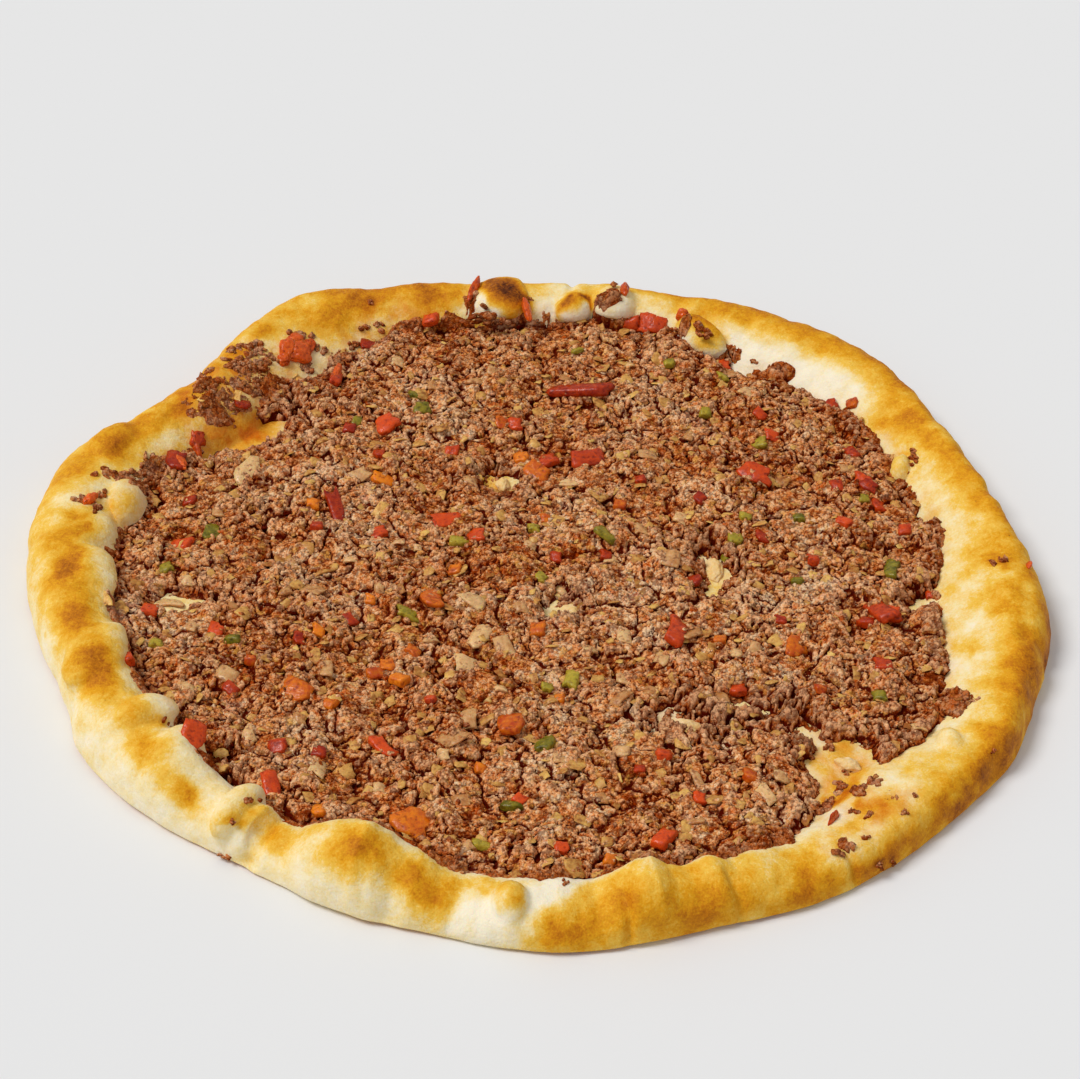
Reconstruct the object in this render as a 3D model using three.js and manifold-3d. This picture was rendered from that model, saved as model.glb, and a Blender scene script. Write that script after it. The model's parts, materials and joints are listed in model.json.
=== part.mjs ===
// Lahmacun: a thin hand-stretched flatbread with a blistered raised rim, spread with minced meat and diced vegetables.
// Millimetres, +Z up. The flatbread rests on z = 0 and the middle of its plan is the origin.
// Bearings are degrees in plan, anticlockwise from +X; the eater's near side is -Y (bearing 270).
import * as THREE from "three";
import { mergeVertices } from "three/addons/utils/BufferGeometryUtils.js";
import Module from "manifold-3d";

// ---- Driving dimensions ----
const GAP = 0.3; // clearance between touching pieces
const FLOOR = 3.4; // thickness of the bread under the topping
const MINCE = 4.4; // mean thickness of the minced layer
const BASE_TUCK = 2.6; // how far the resting face stays inside the outer edge
const FOOT_SINK = 0.8; // depth of the crease where the rim meets the floor

// Outer edge and inner foot of the rim every 10 degrees from bearing 0.
const STEP = 10;
const OUTER_RADIUS = [
  141, 138.5, 137.5, 139.5, 145, 145.5, 143.5, 140.5, 138, 138, 138, 141.5, 148.3, 141.3, 132.5, 135.5, 143.5, 143,
  139.5, 134.5, 131, 133, 131.5, 128, 126.5, 129.5, 129, 132.5, 134, 133.5, 137, 139.2, 140.5, 143.5, 143, 144,
];
const FOOT_RADIUS = [
  114, 118, 117.5, 119.5, 119.5, 119.5, 122, 122, 124, 120, 121, 122, 115, 114, 110, 112, 116, 117,
  117, 115, 114, 113, 112, 114, 113, 109, 113, 116, 116, 119, 121, 120, 117, 123, 119, 114,
];
// The crest of the rim every 30 degrees: its height, and the part of the rim's width that lies outside it.
const CREST_STEP = 30;
const CREST_HEIGHT = [15.0, 14.5, 13.5, 13.5, 15.5, 14.5, 16.0, 15.5, 17.5, 13.5, 10.5, 11.0];
const CREST_OUTSIDE = [0.26, 0.30, 0.42, 0.46, 0.28, 0.40, 0.50, 0.52, 0.66, 0.52, 0.32, 0.26];

// Folds and blisters of dough: bearing and radius of the middle, then length along the rim, width across it, height of
// the top above z = 0, and the turn of the long side away from the rim's own direction.
const FOLDS = [
  { name: "charred knob at the back", bearing: 94, radius: 125, along: 18, across: 18, top: 19.5, turn: 0 },
  { name: "small back knob", bearing: 83, radius: 123, along: 12, across: 11, top: 14.5, turn: 0 },
  { name: "dough under the lump at the back", bearing: 78, radius: 126, along: 14, across: 13, top: 15.5, turn: 0 },
  { name: "curled tongue, back right", bearing: 64, radius: 122, along: 21, across: 11, top: 15, turn: -23 },
  { name: "pale nub, right", bearing: 22, radius: 118, along: 10, across: 7, top: 11.5, turn: -34 },
  { name: "golden swelling, back left", bearing: 117, radius: 131, along: 21, across: 13, top: 15.5, turn: 13 },
  { name: "toasted bump, left", bearing: 158, radius: 128, along: 19, across: 13, top: 17, turn: -11 },
  { name: "round blister, left", bearing: 167, radius: 118.5, along: 15, across: 13, top: 13.5, turn: 13 },
  { name: "small blister outside it", bearing: 174, radius: 122, along: 12, across: 11, top: 15.5, turn: 0 },
  { name: "upper broad swelling, left", bearing: 184, radius: 121.5, along: 24, across: 14, top: 17, turn: -4 },
  { name: "lower broad swelling, left", bearing: 199, radius: 119, along: 24, across: 15, top: 17, turn: -20 },
  { name: "curled tongue over the mince, left", bearing: 213, radius: 117, along: 10, across: 19, top: 17.5, turn: 0 },
  { name: "swelling, lower left", bearing: 220, radius: 116, along: 13, across: 17, top: 16.5, turn: 20 },
  { name: "split roll, lower left", bearing: 233, radius: 118, along: 10, across: 21, top: 17, turn: 0 },
  { name: "toasted blister, near side", bearing: 268, radius: 124, along: 10, across: 12, top: 15.5, turn: 0 },
  { name: "white nub, lower right", bearing: 328, radius: 127, along: 10, across: 7, top: 11.5, turn: 49 },
];
// Bubbles of bare bread that stand up through the mince: plan place, diameter, height of the top above z = 0.
const BUBBLES = [
  { x: 58, y: 10, across: 9, top: 10.2 },
  { x: 10, y: -20, across: 8.5, top: 9.6 },
  { x: 41, y: -61, across: 13, top: 9.2 },
  { x: -7, y: 39, across: 7, top: 9.2 },
];
// Places near the rim where the mince has parted and the bread floor lies open: plan place, length, width, turn.
const BARE_PATCHES = [
  { x: 79, y: -77, length: 17, width: 11, turn: 35 },
  { x: 76, y: -93, length: 19, width: 9, turn: 40 },
  { x: -85, y: 65, length: 24, width: 8, turn: 28 },
];
// Largest pieces of diced vegetable: plan place, length, width, thickness, turn of the long side, colour group.
const CHUNKS = [
  { name: "red_pepper_1", x: 14, y: -62, length: 8.5, width: 6.5, thick: 3.2, turn: 25, colour: "red" },
  { name: "red_pepper_2", x: 44, y: -40, length: 6.5, width: 5, thick: 3.4, turn: -20, colour: "red" },
  { name: "red_pepper_3", x: -28, y: -98, length: 7.5, width: 6.5, thick: 3.4, turn: 60, colour: "orange" },
  { name: "red_pepper_4", x: 15, y: 82, length: 12.5, width: 4, thick: 3, turn: 12, colour: "red" },
  { name: "red_pepper_5", x: -4, y: -63, length: 5.5, width: 5.5, thick: 3.2, turn: 10, colour: "orange" },
  { name: "red_pepper_6", x: -86, y: -68, length: 5.5, width: 5.5, thick: 3, turn: 40, colour: "red" },
  { name: "tomato_1", x: 107, y: 30, length: 8, width: 6.5, thick: 3.4, turn: 35, colour: "red" },
  { name: "green_pepper_1", x: 62, y: 7, length: 7, width: 4, thick: 3, turn: -25, colour: "green" },
  { name: "green_pepper_2", x: -75, y: -1, length: 8, width: 4, thick: 3, turn: -12, colour: "green" },
  { name: "onion_1", x: -13, y: -30, length: 6.5, width: 5.5, thick: 2.6, turn: 70, colour: "onion" },
  { name: "onion_2", x: -16, y: -17, length: 8, width: 5.5, thick: 2.6, turn: 20, colour: "onion" },
];
// Lumps of topping that landed on the rim: plan place, plan size, height above the dough there, colour group.
const RIM_LUMPS = [
  { name: "tomato_lump_back_left", x: -71, y: 100, length: 9, width: 7, centre: 12.5, thick: 6, turn: 20, colour: "orange" },
  { name: "mince_lump_back", x: 27, y: 123, length: 12, width: 8, centre: 15, thick: 6, turn: -5, colour: "mince" },
];

const COLOURS = {
  bread: 0xe6c27a,
  mince: 0x9a6238,
  red: 0xb8301a,
  orange: 0xc9501e,
  green: 0x7c8a2c,
  onion: 0xc9a877,
};

// ---- Small helpers ----
const radians = THREE.MathUtils.degToRad;
const wasm = await Module();
wasm.setup();

// Value at a bearing of a ring of numbers that stand a fixed step apart, on a smooth closed curve through them.
function around(values, step, bearing) {
  const n = values.length;
  const place = ((((bearing % 360) + 360) % 360) / step) % n;
  const i = Math.floor(place);
  const t = place - i;
  const at = (k) => values[(k + n) % n];
  const [a, b, c, d] = [at(i - 1), at(i), at(i + 1), at(i + 2)];
  return b + 0.5 * t * (c - a + t * (2 * a - 5 * b + 4 * c - d + t * (3 * (b - c) + d - a)));
}

// Closed THREE geometry to a solid.
function solid(geometry) {
  const bare = geometry.clone();
  bare.deleteAttribute("normal");
  bare.deleteAttribute("uv");
  const merged = mergeVertices(bare, 1e-4);
  return new wasm.Manifold(
    new wasm.Mesh({
      numProp: 3,
      vertProperties: merged.attributes.position.array,
      triVerts: new Uint32Array(merged.index.array),
    }),
  );
}

// Solid back to a THREE geometry.
function geometryOf(manifold) {
  const mesh = manifold.getMesh();
  const geometry = new THREE.BufferGeometry();
  geometry.setAttribute("position", new THREE.BufferAttribute(mesh.vertProperties, 3));
  geometry.setIndex(new THREE.BufferAttribute(mesh.triVerts, 1));
  return geometry;
}

// Closed surface from rings of points, each ring a full turn, capped by a point at its first and its last end.
function ringSurface(firstPoint, rings, lastPoint) {
  const turn = rings[0].length;
  const points = [firstPoint, ...rings.flat(), lastPoint];
  const id = (ring, k) => 1 + ring * turn + ((k + turn) % turn);
  const last = points.length - 1;
  const index = [];
  for (let k = 0; k < turn; k++) index.push(0, id(0, k + 1), id(0, k));
  for (let ring = 0; ring + 1 < rings.length; ring++) {
    for (let k = 0; k < turn; k++) {
      const [a, b] = [id(ring, k), id(ring, k + 1)];
      const [c, d] = [id(ring + 1, k), id(ring + 1, k + 1)];
      index.push(a, b, c, b, d, c);
    }
  }
  for (let k = 0; k < turn; k++) index.push(last, id(rings.length - 1, k), id(rings.length - 1, k + 1));
  const geometry = new THREE.BufferGeometry();
  geometry.setAttribute("position", new THREE.Float32BufferAttribute(points.flat(), 3));
  geometry.setIndex(index);
  return geometry;
}

// Rounded lump: a ball drawn out to a length, width and thickness, turned in plan. Its lower half can be made shallower.
function lump({ x, y, z, length, width, thick, turn = 0, below = thick / 2 }) {
  const ball = new THREE.IcosahedronGeometry(1, 1);
  const places = ball.attributes.position;
  for (let i = 0; i < places.count; i++) {
    const height = places.getZ(i);
    places.setZ(i, height * (height > 0 ? thick / 2 : below));
  }
  ball.scale(length / 2, width / 2, 1);
  ball.rotateZ(radians(turn));
  ball.translate(x, y, z);
  return solid(ball);
}

// ---- Flatbread ----
const BREAD_TURN = 72; // facets round the bread
const WIDEST_SHARE = 0.3; // height of the widest part of the rim as a share of its crest
const WALL_ANGLES = [-66, -42, -18, 8, 34, 62, 90]; // stations up the rounded outer wall, 90 at the crest
const SLOPE_STATIONS = [0.22, 0.45, 0.68, 0.87, 1]; // stations down the inner slope, 1 at the foot
const FLOOR_STATIONS = [0.72, 0.4]; // rings of the floor as shares of the foot radius

const FOLD_DEPTH = 0.62; // height of a fold's own dough as a share of the height of its top

// Gentle waviness of a hand-stretched rim: every value is a share of the rim's own size.
const rimWave = (bearing) =>
  0.05 * Math.sin(radians(bearing * 7 + 40)) + 0.04 * Math.sin(radians(bearing * 13 + 200));
const floorWave = (x, y) => 0.35 * Math.sin(x / 17 + 1) * Math.cos(y / 14);

// Solid of the bread, made larger all round by grow, which gives the pieces on it their clearance.
function breadSolid(grow) {
  const rings = [];
  const bearings = Array.from({ length: BREAD_TURN }, (_, k) => (k * 360) / BREAD_TURN);
  const at = (bearing, radius, z) => [
    radius * Math.cos(radians(bearing)),
    radius * Math.sin(radians(bearing)),
    z,
  ];
  const section = bearings.map((bearing) => {
    const outer = around(OUTER_RADIUS, STEP, bearing) + grow;
    const foot = around(FOOT_RADIUS, STEP, bearing) - grow;
    const crest = around(CREST_HEIGHT, CREST_STEP, bearing) * (1 + rimWave(bearing)) + grow;
    const crestRadius = outer - (outer - foot) * around(CREST_OUTSIDE, CREST_STEP, bearing);
    return { outer, foot, crest, crestRadius };
  });
  const ring = (make) => rings.push(bearings.map((bearing, k) => at(bearing, ...make(section[k]))));

  ring(({ outer }) => [outer * 0.55, -grow]);
  ring(({ outer }) => [outer - BASE_TUCK, -grow]);
  for (const angle of WALL_ANGLES) {
    const rise = Math.sin(radians(angle));
    const reach = Math.cos(radians(angle)) ** 0.8;
    ring(({ outer, crest, crestRadius }) => {
      const widest = crest * WIDEST_SHARE;
      const z = widest + rise * (rise > 0 ? crest - widest : widest);
      return [crestRadius + (outer - crestRadius) * reach, z - (rise > 0 ? 0 : grow)];
    });
  }
  for (const share of SLOPE_STATIONS) {
    ring(({ foot, crest, crestRadius }) => {
      const low = FLOOR + grow - FOOT_SINK * (share === 1 ? 1 : 0);
      return [crestRadius - (crestRadius - foot) * share, low + (crest - low) * (1 - share ** 1.7) ** 0.8];
    });
  }
  for (const share of FLOOR_STATIONS) ring(({ foot }) => [foot * share, FLOOR + grow]);
  for (const r of rings.slice(-FLOOR_STATIONS.length)) for (const p of r) p[2] += floorWave(p[0], p[1]);

  let bread = solid(ringSurface([0, 0, -grow], rings, [0, 0, FLOOR + grow]));
  for (const fold of FOLDS) {
    const height = fold.top * FOLD_DEPTH;
    bread = bread.add(
      lump({
        x: fold.radius * Math.cos(radians(fold.bearing)),
        y: fold.radius * Math.sin(radians(fold.bearing)),
        z: fold.top - height / 2,
        length: fold.along + 2 * grow,
        width: fold.across + 2 * grow,
        thick: height + 2 * grow,
        turn: fold.bearing + 90 + fold.turn,
      }),
    );
  }
  for (const { x, y, across, top } of BUBBLES) {
    const size = across + 2 * grow;
    bread = bread.add(
      lump({ x, y, z: FLOOR, length: size, width: size, thick: 2 * (top - FLOOR + grow), below: FLOOR / 2 }),
    );
  }
  return bread;
}

// ---- Minced layer ----
const MINCE_TURN = 60; // facets round the minced layer
const MINCE_STATIONS = [1, 0.985, 0.92, 0.81, 0.69, 0.56, 0.42, 0.28, 0.14];
const EDGE_RAGGED = 1.6; // how far the edge wanders in and out

// Height of the top of the mince: heaps and hollows of a layer pressed out by hand.
function minceTop(x, y) {
  const heaps =
    0.55 * Math.sin(x / 9.5 + 0.6 * Math.sin(y / 13)) * Math.cos(y / 8.2) +
    0.4 * Math.sin(x / 5.1 - y / 6.3) +
    0.35 * Math.cos(x / 21 + y / 17);
  return FLOOR + GAP + MINCE + heaps;
}

function minceSolid(breadWithGap, chunksWithGap) {
  const rings = [];
  const edge = (bearing) =>
    around(FOOT_RADIUS, STEP, bearing) +
    EDGE_RAGGED * (Math.sin(radians(bearing * 17)) * 0.6 + Math.sin(radians(bearing * 29 + 50)) * 0.4) +
    1.5;
  const ring = (share, lift) =>
    rings.push(
      Array.from({ length: MINCE_TURN }, (_, k) => {
        const bearing = (k * 360) / MINCE_TURN;
        const radius = edge(bearing) * share;
        const [x, y] = [radius * Math.cos(radians(bearing)), radius * Math.sin(radians(bearing))];
        return [x, y, lift(x, y)];
      }),
    );
  const under = FLOOR - 1.5; // the overlap with the bread is cut away below
  ring(0.5, () => under);
  ring(1, () => under);
  for (const share of MINCE_STATIONS) {
    const drop = share === 1 ? 2.4 : share > 0.98 ? 0.8 : 0;
    ring(share, (x, y) => minceTop(x, y) - drop);
  }
  let layer = solid(ringSurface([0, 0, under], rings, [0, 0, minceTop(0, 0)]));
  layer = layer.subtract(breadWithGap);
  for (const { x, y, length, width, turn } of BARE_PATCHES) {
    const patch = new THREE.CylinderGeometry(0.5, 0.5, 1, 14);
    patch.rotateX(Math.PI / 2);
    patch.scale(length, width, 4 * MINCE);
    patch.rotateZ(radians(turn));
    patch.translate(x, y, FLOOR + MINCE);
    layer = layer.subtract(solid(patch));
  }
  for (const chunk of chunksWithGap) layer = layer.subtract(chunk);
  return largestBody(layer);
}

// A cut can leave crumbs behind: keep the one large body.
function largestBody(manifold) {
  return manifold.decompose().reduce((a, b) => (a.volume() > b.volume() ? a : b));
}

// ---- Assembly ----
const CHUNK_PROUD = 0.35; // share of a chunk's thickness that its middle stands below the top of the mince

// Solid of a diced piece half sunk in the mince, made larger all round by grow.
const chunkSolid = (chunk, grow) =>
  lump({
    ...chunk,
    z: minceTop(chunk.x, chunk.y) + chunk.thick * (0.5 - CHUNK_PROUD) - 0.2,
    length: chunk.length + 2 * grow,
    width: chunk.width + 2 * grow,
    thick: chunk.thick + 2 * grow,
    turn: chunk.turn,
  });

const lahmacun = new THREE.Group();
lahmacun.name = "lahmacun";

function addPiece(name, manifold, colour, roughness) {
  const mesh = new THREE.Mesh(
    geometryOf(manifold),
    new THREE.MeshStandardMaterial({ color: colour, roughness, metalness: 0 }),
  );
  mesh.name = name;
  lahmacun.add(mesh);
}

const breadWithGap = breadSolid(GAP);
addPiece("flatbread", breadSolid(0), COLOURS.bread, 0.75);
addPiece(
  "mince_layer",
  minceSolid(breadWithGap, [
    ...CHUNKS.map((chunk) => chunkSolid(chunk, GAP)),
    ...RIM_LUMPS.map((piece) => lump({ ...piece, z: piece.centre, thick: piece.thick + 2 * GAP })),
  ]),
  COLOURS.mince,
  0.6,
);
for (const chunk of CHUNKS) {
  addPiece(chunk.name, largestBody(chunkSolid(chunk, 0).subtract(breadWithGap)), COLOURS[chunk.colour], 0.4);
}
for (const piece of RIM_LUMPS) {
  const body = lump({ ...piece, z: piece.centre }).subtract(breadWithGap);
  addPiece(piece.name, largestBody(body), COLOURS[piece.colour], 0.6);
}

// The plan's middle and the resting face become the origin.
const box = new THREE.Box3().setFromObject(lahmacun);
const middle = box.getCenter(new THREE.Vector3());
lahmacun.position.set(-middle.x, -middle.y, -box.min.z);
lahmacun.updateMatrixWorld(true);

export default lahmacun;
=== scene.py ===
"""Lahmacun: a hand-stretched flatbread with a toasted, blistered rim under a layer of crumbly minced meat.

The sizes below are millimetres unless a name says otherwise; the model is built in metres, in the frame of
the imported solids. The near side of the bread is -Y and +Z is up. A place on the picture frame is given in
pixels from its left and top edges, and a place in plan in millimetres along X and Y.
"""
import json
import logging
import math
from dataclasses import dataclass, field, replace
from enum import Enum
from typing import Callable, Iterator, Sequence

import bpy
import numpy as np
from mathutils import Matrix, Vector
from mathutils.bvhtree import BVHTree

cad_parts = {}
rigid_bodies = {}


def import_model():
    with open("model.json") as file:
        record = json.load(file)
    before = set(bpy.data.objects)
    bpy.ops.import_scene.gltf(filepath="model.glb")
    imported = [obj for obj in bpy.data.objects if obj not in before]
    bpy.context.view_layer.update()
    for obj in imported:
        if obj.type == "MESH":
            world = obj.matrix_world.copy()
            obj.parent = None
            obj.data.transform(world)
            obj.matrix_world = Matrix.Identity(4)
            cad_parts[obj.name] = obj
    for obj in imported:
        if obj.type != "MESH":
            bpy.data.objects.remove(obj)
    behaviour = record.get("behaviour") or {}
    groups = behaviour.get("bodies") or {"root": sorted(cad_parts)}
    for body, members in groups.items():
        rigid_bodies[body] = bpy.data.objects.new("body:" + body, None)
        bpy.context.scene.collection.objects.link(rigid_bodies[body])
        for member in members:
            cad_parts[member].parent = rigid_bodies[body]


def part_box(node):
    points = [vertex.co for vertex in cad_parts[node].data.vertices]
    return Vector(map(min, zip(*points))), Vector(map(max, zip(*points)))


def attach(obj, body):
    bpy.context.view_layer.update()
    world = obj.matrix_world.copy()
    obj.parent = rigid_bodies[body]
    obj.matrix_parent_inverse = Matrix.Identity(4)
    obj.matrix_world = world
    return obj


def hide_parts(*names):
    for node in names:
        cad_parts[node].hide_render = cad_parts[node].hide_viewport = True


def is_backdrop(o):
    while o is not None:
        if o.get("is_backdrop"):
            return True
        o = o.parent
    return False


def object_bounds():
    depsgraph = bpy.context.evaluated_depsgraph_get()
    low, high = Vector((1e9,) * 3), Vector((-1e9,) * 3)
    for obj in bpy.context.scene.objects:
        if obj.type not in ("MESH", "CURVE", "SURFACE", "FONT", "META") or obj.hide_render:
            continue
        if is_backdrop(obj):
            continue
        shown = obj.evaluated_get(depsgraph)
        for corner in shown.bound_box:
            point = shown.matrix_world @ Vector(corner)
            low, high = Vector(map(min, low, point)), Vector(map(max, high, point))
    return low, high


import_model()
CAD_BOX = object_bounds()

LOG = logging.getLogger("lahmacun")
MM = 0.001  # one millimetre in metres
Piece = bpy.types.Object
Socket = bpy.types.NodeSocket
# An oval in plan: its middle, the matrix that makes it a unit circle, and its smaller half size.
Oval = tuple[np.ndarray, np.ndarray, float]

# ---- Sizes shared with the solids ----
OUTLINE_STEP = 10  # degrees between the stations of the outline
OUTER_RADIUS = (
    141, 138.5, 137.5, 139.5, 145, 145.5, 143.5, 140.5, 138, 138, 138, 141.5,
    148.3, 141.3, 132.5, 135.5, 143.5, 143, 139.5, 134.5, 131, 133, 131.5, 128,
    126.5, 129.5, 129, 132.5, 134, 133.5, 137, 139.2, 140.5, 143.5, 143, 144,
)
FOOT_RADIUS = (
    114, 118, 117.5, 119.5, 119.5, 119.5, 122, 122, 124, 120, 121, 122,
    115, 114, 110, 112, 116, 117, 117, 115, 114, 113, 112, 114,
    113, 109, 113, 116, 116, 119, 121, 120, 117, 123, 119, 114,
)
CREST_STEP = 30  # degrees between the stations of the crest
CREST_HEIGHT = (15.0, 14.5, 13.5, 13.5, 15.5, 14.5, 16.0, 15.5, 17.5, 13.5, 10.5, 11.0)
CREST_OUTSIDE = (0.26, 0.30, 0.42, 0.46, 0.28, 0.40, 0.50, 0.52, 0.66, 0.52, 0.32, 0.26)
FLOOR_THICKNESS = 3.4
MINCE_THICKNESS = 4.4
LANDMARK_NODE = "red_pepper_1"  # a solid whose plan place is known before the plan is centred
LANDMARK_PLACE = (14.0, -62.0)
PIXELS_PER_MM = 3.6  # mean scale of the picture frame over the food


# ---- Number helpers ----
def hex_linear(code: str) -> tuple[float, float, float, float]:
    """Turns an sRGB colour into linear light.

    Args:
        code: Six hex digits, such as "E6C27A".

    Returns:
        Red, green, blue and an alpha of one.
    """
    parts = [int(code[i : i + 2], 16) / 255 for i in (0, 2, 4)]
    linear = [c / 12.92 if c <= 0.04045 else ((c + 0.055) / 1.055) ** 2.4 for c in parts]
    return (linear[0], linear[1], linear[2], 1.0)


def smoothstep(low: float, high: float, value: np.ndarray) -> np.ndarray:
    """Eases from nought where the value is low to one where it is high."""
    t = np.clip((value - low) / (high - low), 0.0, 1.0)
    return t * t * (3.0 - 2.0 * t)


def around(values: Sequence[float], step: float, bearing: np.ndarray) -> np.ndarray:
    """Reads a closed ring of stations on a smooth curve through them.

    Args:
        values: The stations.
        step: Degrees between two stations.
        bearing: Where to read, in degrees.

    Returns:
        The values at the bearings.
    """
    ring = np.asarray(values, float)
    place = (np.asarray(bearing, float) % 360.0) / step
    i = np.floor(place).astype(int)
    t = place - i
    a, b, c, d = (ring[(i + k) % len(ring)] for k in (-1, 0, 1, 2))
    return b + 0.5 * t * (c - a + t * (2 * a - 5 * b + 4 * c - d + t * (3 * (b - c) + d - a)))


class Grain:
    """Seeded gradient noise for numpy points, the source of every unevenness."""

    def __init__(self, seed: int) -> None:
        """Draws the gradients.

        Args:
            seed: Chooses one pattern.
        """
        rng = np.random.default_rng(seed)
        self.order = rng.permutation(256)
        way = rng.normal(size=(256, 3))
        self.way = way / np.linalg.norm(way, axis=1, keepdims=True)

    def _hash(self, cell: np.ndarray) -> np.ndarray:
        """Numbers each lattice cell from 0 to 255."""
        x, y, z = (cell[:, k] & 255 for k in range(3))
        return self.order[(self.order[(self.order[x] + y) & 255] + z) & 255]

    def at(self, points: np.ndarray, size: float) -> np.ndarray:
        """Reads the noise.

        Args:
            points: Places, n by 3 (or n by 2), in the unit of size.
            size: Width of one swell.

        Returns:
            Values of about -0.7 to 0.7.
        """
        p = np.zeros((len(points), 3))
        p[:, : points.shape[1]] = points
        p = p / size + 100.0
        cell = np.floor(p).astype(int)
        part = p - cell
        ease = part**3 * (part * (part * 6 - 15) + 10)
        total = np.zeros(len(p))
        for corner in np.ndindex(2, 2, 2):
            step = np.array(corner)
            grad = self.way[self._hash(cell + step)]
            weight = np.prod(np.where(step, ease, 1 - ease), axis=1)
            total += weight * np.einsum("ij,ij->i", grad, part - step)
        return total

    def layered(self, points: np.ndarray, size: float, layers: int = 3) -> np.ndarray:
        """Noise of about -1 to 1 in layers, each half as wide and half as strong as the one before."""
        return sum(self.at(points + 7.3 * k, size / 2**k) / 2**k for k in range(layers))

    def billowed(self, points: np.ndarray, size: float, layers: int = 3) -> np.ndarray:
        """Crumbly noise of about 0 to 1 in layers, rounded above and creased below."""
        return sum(np.abs(self.at(points + 5.1 * k, size * 0.6**k)) * 0.7**k for k in range(layers))


@dataclass(frozen=True)
class Ripple:
    """Unevenness of one kind, drawn by layered noise."""

    seed: int
    reach: float  # strength, in the unit of what it changes
    width: float  # of the coarsest swell
    layers: int = 2
    shift: float = 0.0  # moves the pattern, so that one seed serves twice

    def at(self, points: np.ndarray) -> np.ndarray:
        """Reads the unevenness at places, n by 3 or n by 2."""
        return self.reach * Grain(self.seed).layered(points + self.shift, self.width, self.layers)

    def along(self, points: np.ndarray, axes: int) -> np.ndarray:
        """Reads it once for each axis, with the seeds that follow its own."""
        return np.column_stack([replace(self, seed=self.seed + k).at(points) for k in range(axes)])


class Nodules:
    """Packed rounded lumps of one mean size over the plan, with sharp cracks between them."""

    crack_width = 0.13  # in lump sizes
    crack_depth = 0.55

    def __init__(self, size: float, seed: int) -> None:
        """Draws the lumps.

        Args:
            size: Mean width of a lump.
            seed: Chooses one pattern.
        """
        self.size = size
        rng = np.random.default_rng(seed)
        self.cells = 64
        self.shift = rng.uniform(0.08, 0.92, (self.cells, self.cells, 2))
        self.reach = rng.uniform(0.62, 1.0, (self.cells, self.cells))
        self.lift = rng.uniform(-0.25, 0.35, (self.cells, self.cells))
        self.own = rng.uniform(0.0, 1.0, (self.cells, self.cells))

    def at(self, plan: np.ndarray) -> tuple[np.ndarray, np.ndarray]:
        """Height of the lumps.

        Args:
            plan: Places, n by 2.

        Returns:
            Heights of about -0.4 to 1.3, in lump heights, and for each place a number that is the lump's own.
        """
        p = plan / self.size + 500.0
        cell = np.floor(p).astype(int)
        best, second, own = np.full(len(p), -0.4), np.full(len(p), -1.0), np.full(len(p), 0.5)
        for dx in (-1, 0, 1):
            for dy in (-1, 0, 1):
                c = cell + (dx, dy)
                i, j = c[:, 0] % self.cells, c[:, 1] % self.cells
                away = np.linalg.norm(p - (c + self.shift[i, j]), axis=1)
                reach = self.reach[i, j]
                dome = np.sqrt(np.clip(1 - (away / reach) ** 3, 0, 1)) * reach + self.lift[i, j]
                dome = np.where(away < reach, dome, -1.0)
                higher = dome > best
                second = np.where(higher, best, np.maximum(second, dome))
                best = np.where(higher, dome, best)
                own = np.where(higher, self.own[i, j], own)
        crack = np.exp(-(((best - second) / self.crack_width) ** 2))
        return best - self.crack_depth * crack, own


@dataclass
class HeightMap:
    """Numbers on a square grid over the plan, read at any place between its points."""

    corner: np.ndarray  # place of the first point
    spacing: float
    values: np.ndarray  # columns along X, rows along Y

    def read(self, plan: np.ndarray) -> np.ndarray:
        """The numbers at plan places, n by 2, straight-lined between the points of the grid."""
        place = np.clip((plan[:, :2] - self.corner) / self.spacing, 0, len(self.values) - 1.001)
        cell = place.astype(int)
        (i, j), (s, t) = cell.T, (place - cell).T
        low = self.values[i, j] * (1 - s) + self.values[i + 1, j] * s
        high = self.values[i, j + 1] * (1 - s) + self.values[i + 1, j + 1] * s
        return low * (1 - t) + high * t

    def blurred(self, width: float) -> np.ndarray:
        """The numbers averaged over squares of a width in millimetres."""
        reach = max(1, round(width / 2 / self.spacing))
        total = self.values
        for axis in (0, 1):
            padded = np.pad(total, [(reach + 1, reach) if k == axis else (0, 0) for k in (0, 1)], mode="edge")
            sums = np.cumsum(padded, axis=axis)
            count = total.shape[axis]
            total = np.take(sums, range(2 * reach + 1, 2 * reach + 1 + count), axis)
            total = (total - np.take(sums, range(count), axis)) / (2 * reach + 1)
        return total


# ---- Mesh helpers ----
def object_from_arrays(name: str, points: np.ndarray, faces: np.ndarray) -> Piece:
    """Makes a smooth mesh object from arrays.

    Args:
        name: The piece's name.
        points: Places in millimetres, n by 3.
        faces: Corner numbers, m by 3 or m by 4.

    Returns:
        The object, at the origin, in the scene.
    """
    mesh = bpy.data.meshes.new(name)
    sides = faces.shape[1]
    mesh.vertices.add(len(points))
    mesh.vertices.foreach_set("co", np.ascontiguousarray(points * MM, np.float32).ravel())
    mesh.loops.add(faces.size)
    mesh.loops.foreach_set("vertex_index", np.ascontiguousarray(faces, np.int32).ravel())
    mesh.polygons.add(len(faces))
    mesh.polygons.foreach_set("loop_start", np.arange(0, faces.size, sides, dtype=np.int32))
    mesh.polygons.foreach_set("use_smooth", np.ones(len(faces), bool))
    mesh.update(calc_edges=True)
    mesh.validate()
    piece = bpy.data.objects.new(name, mesh)
    bpy.context.scene.collection.objects.link(piece)
    return piece


def points_of(piece: Piece) -> np.ndarray:
    """The places of a piece's vertices, n by 3, in millimetres."""
    flat = np.zeros(len(piece.data.vertices) * 3, np.float32)
    piece.data.vertices.foreach_get("co", flat)
    return flat.reshape(-1, 3).astype(float) / MM


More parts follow.
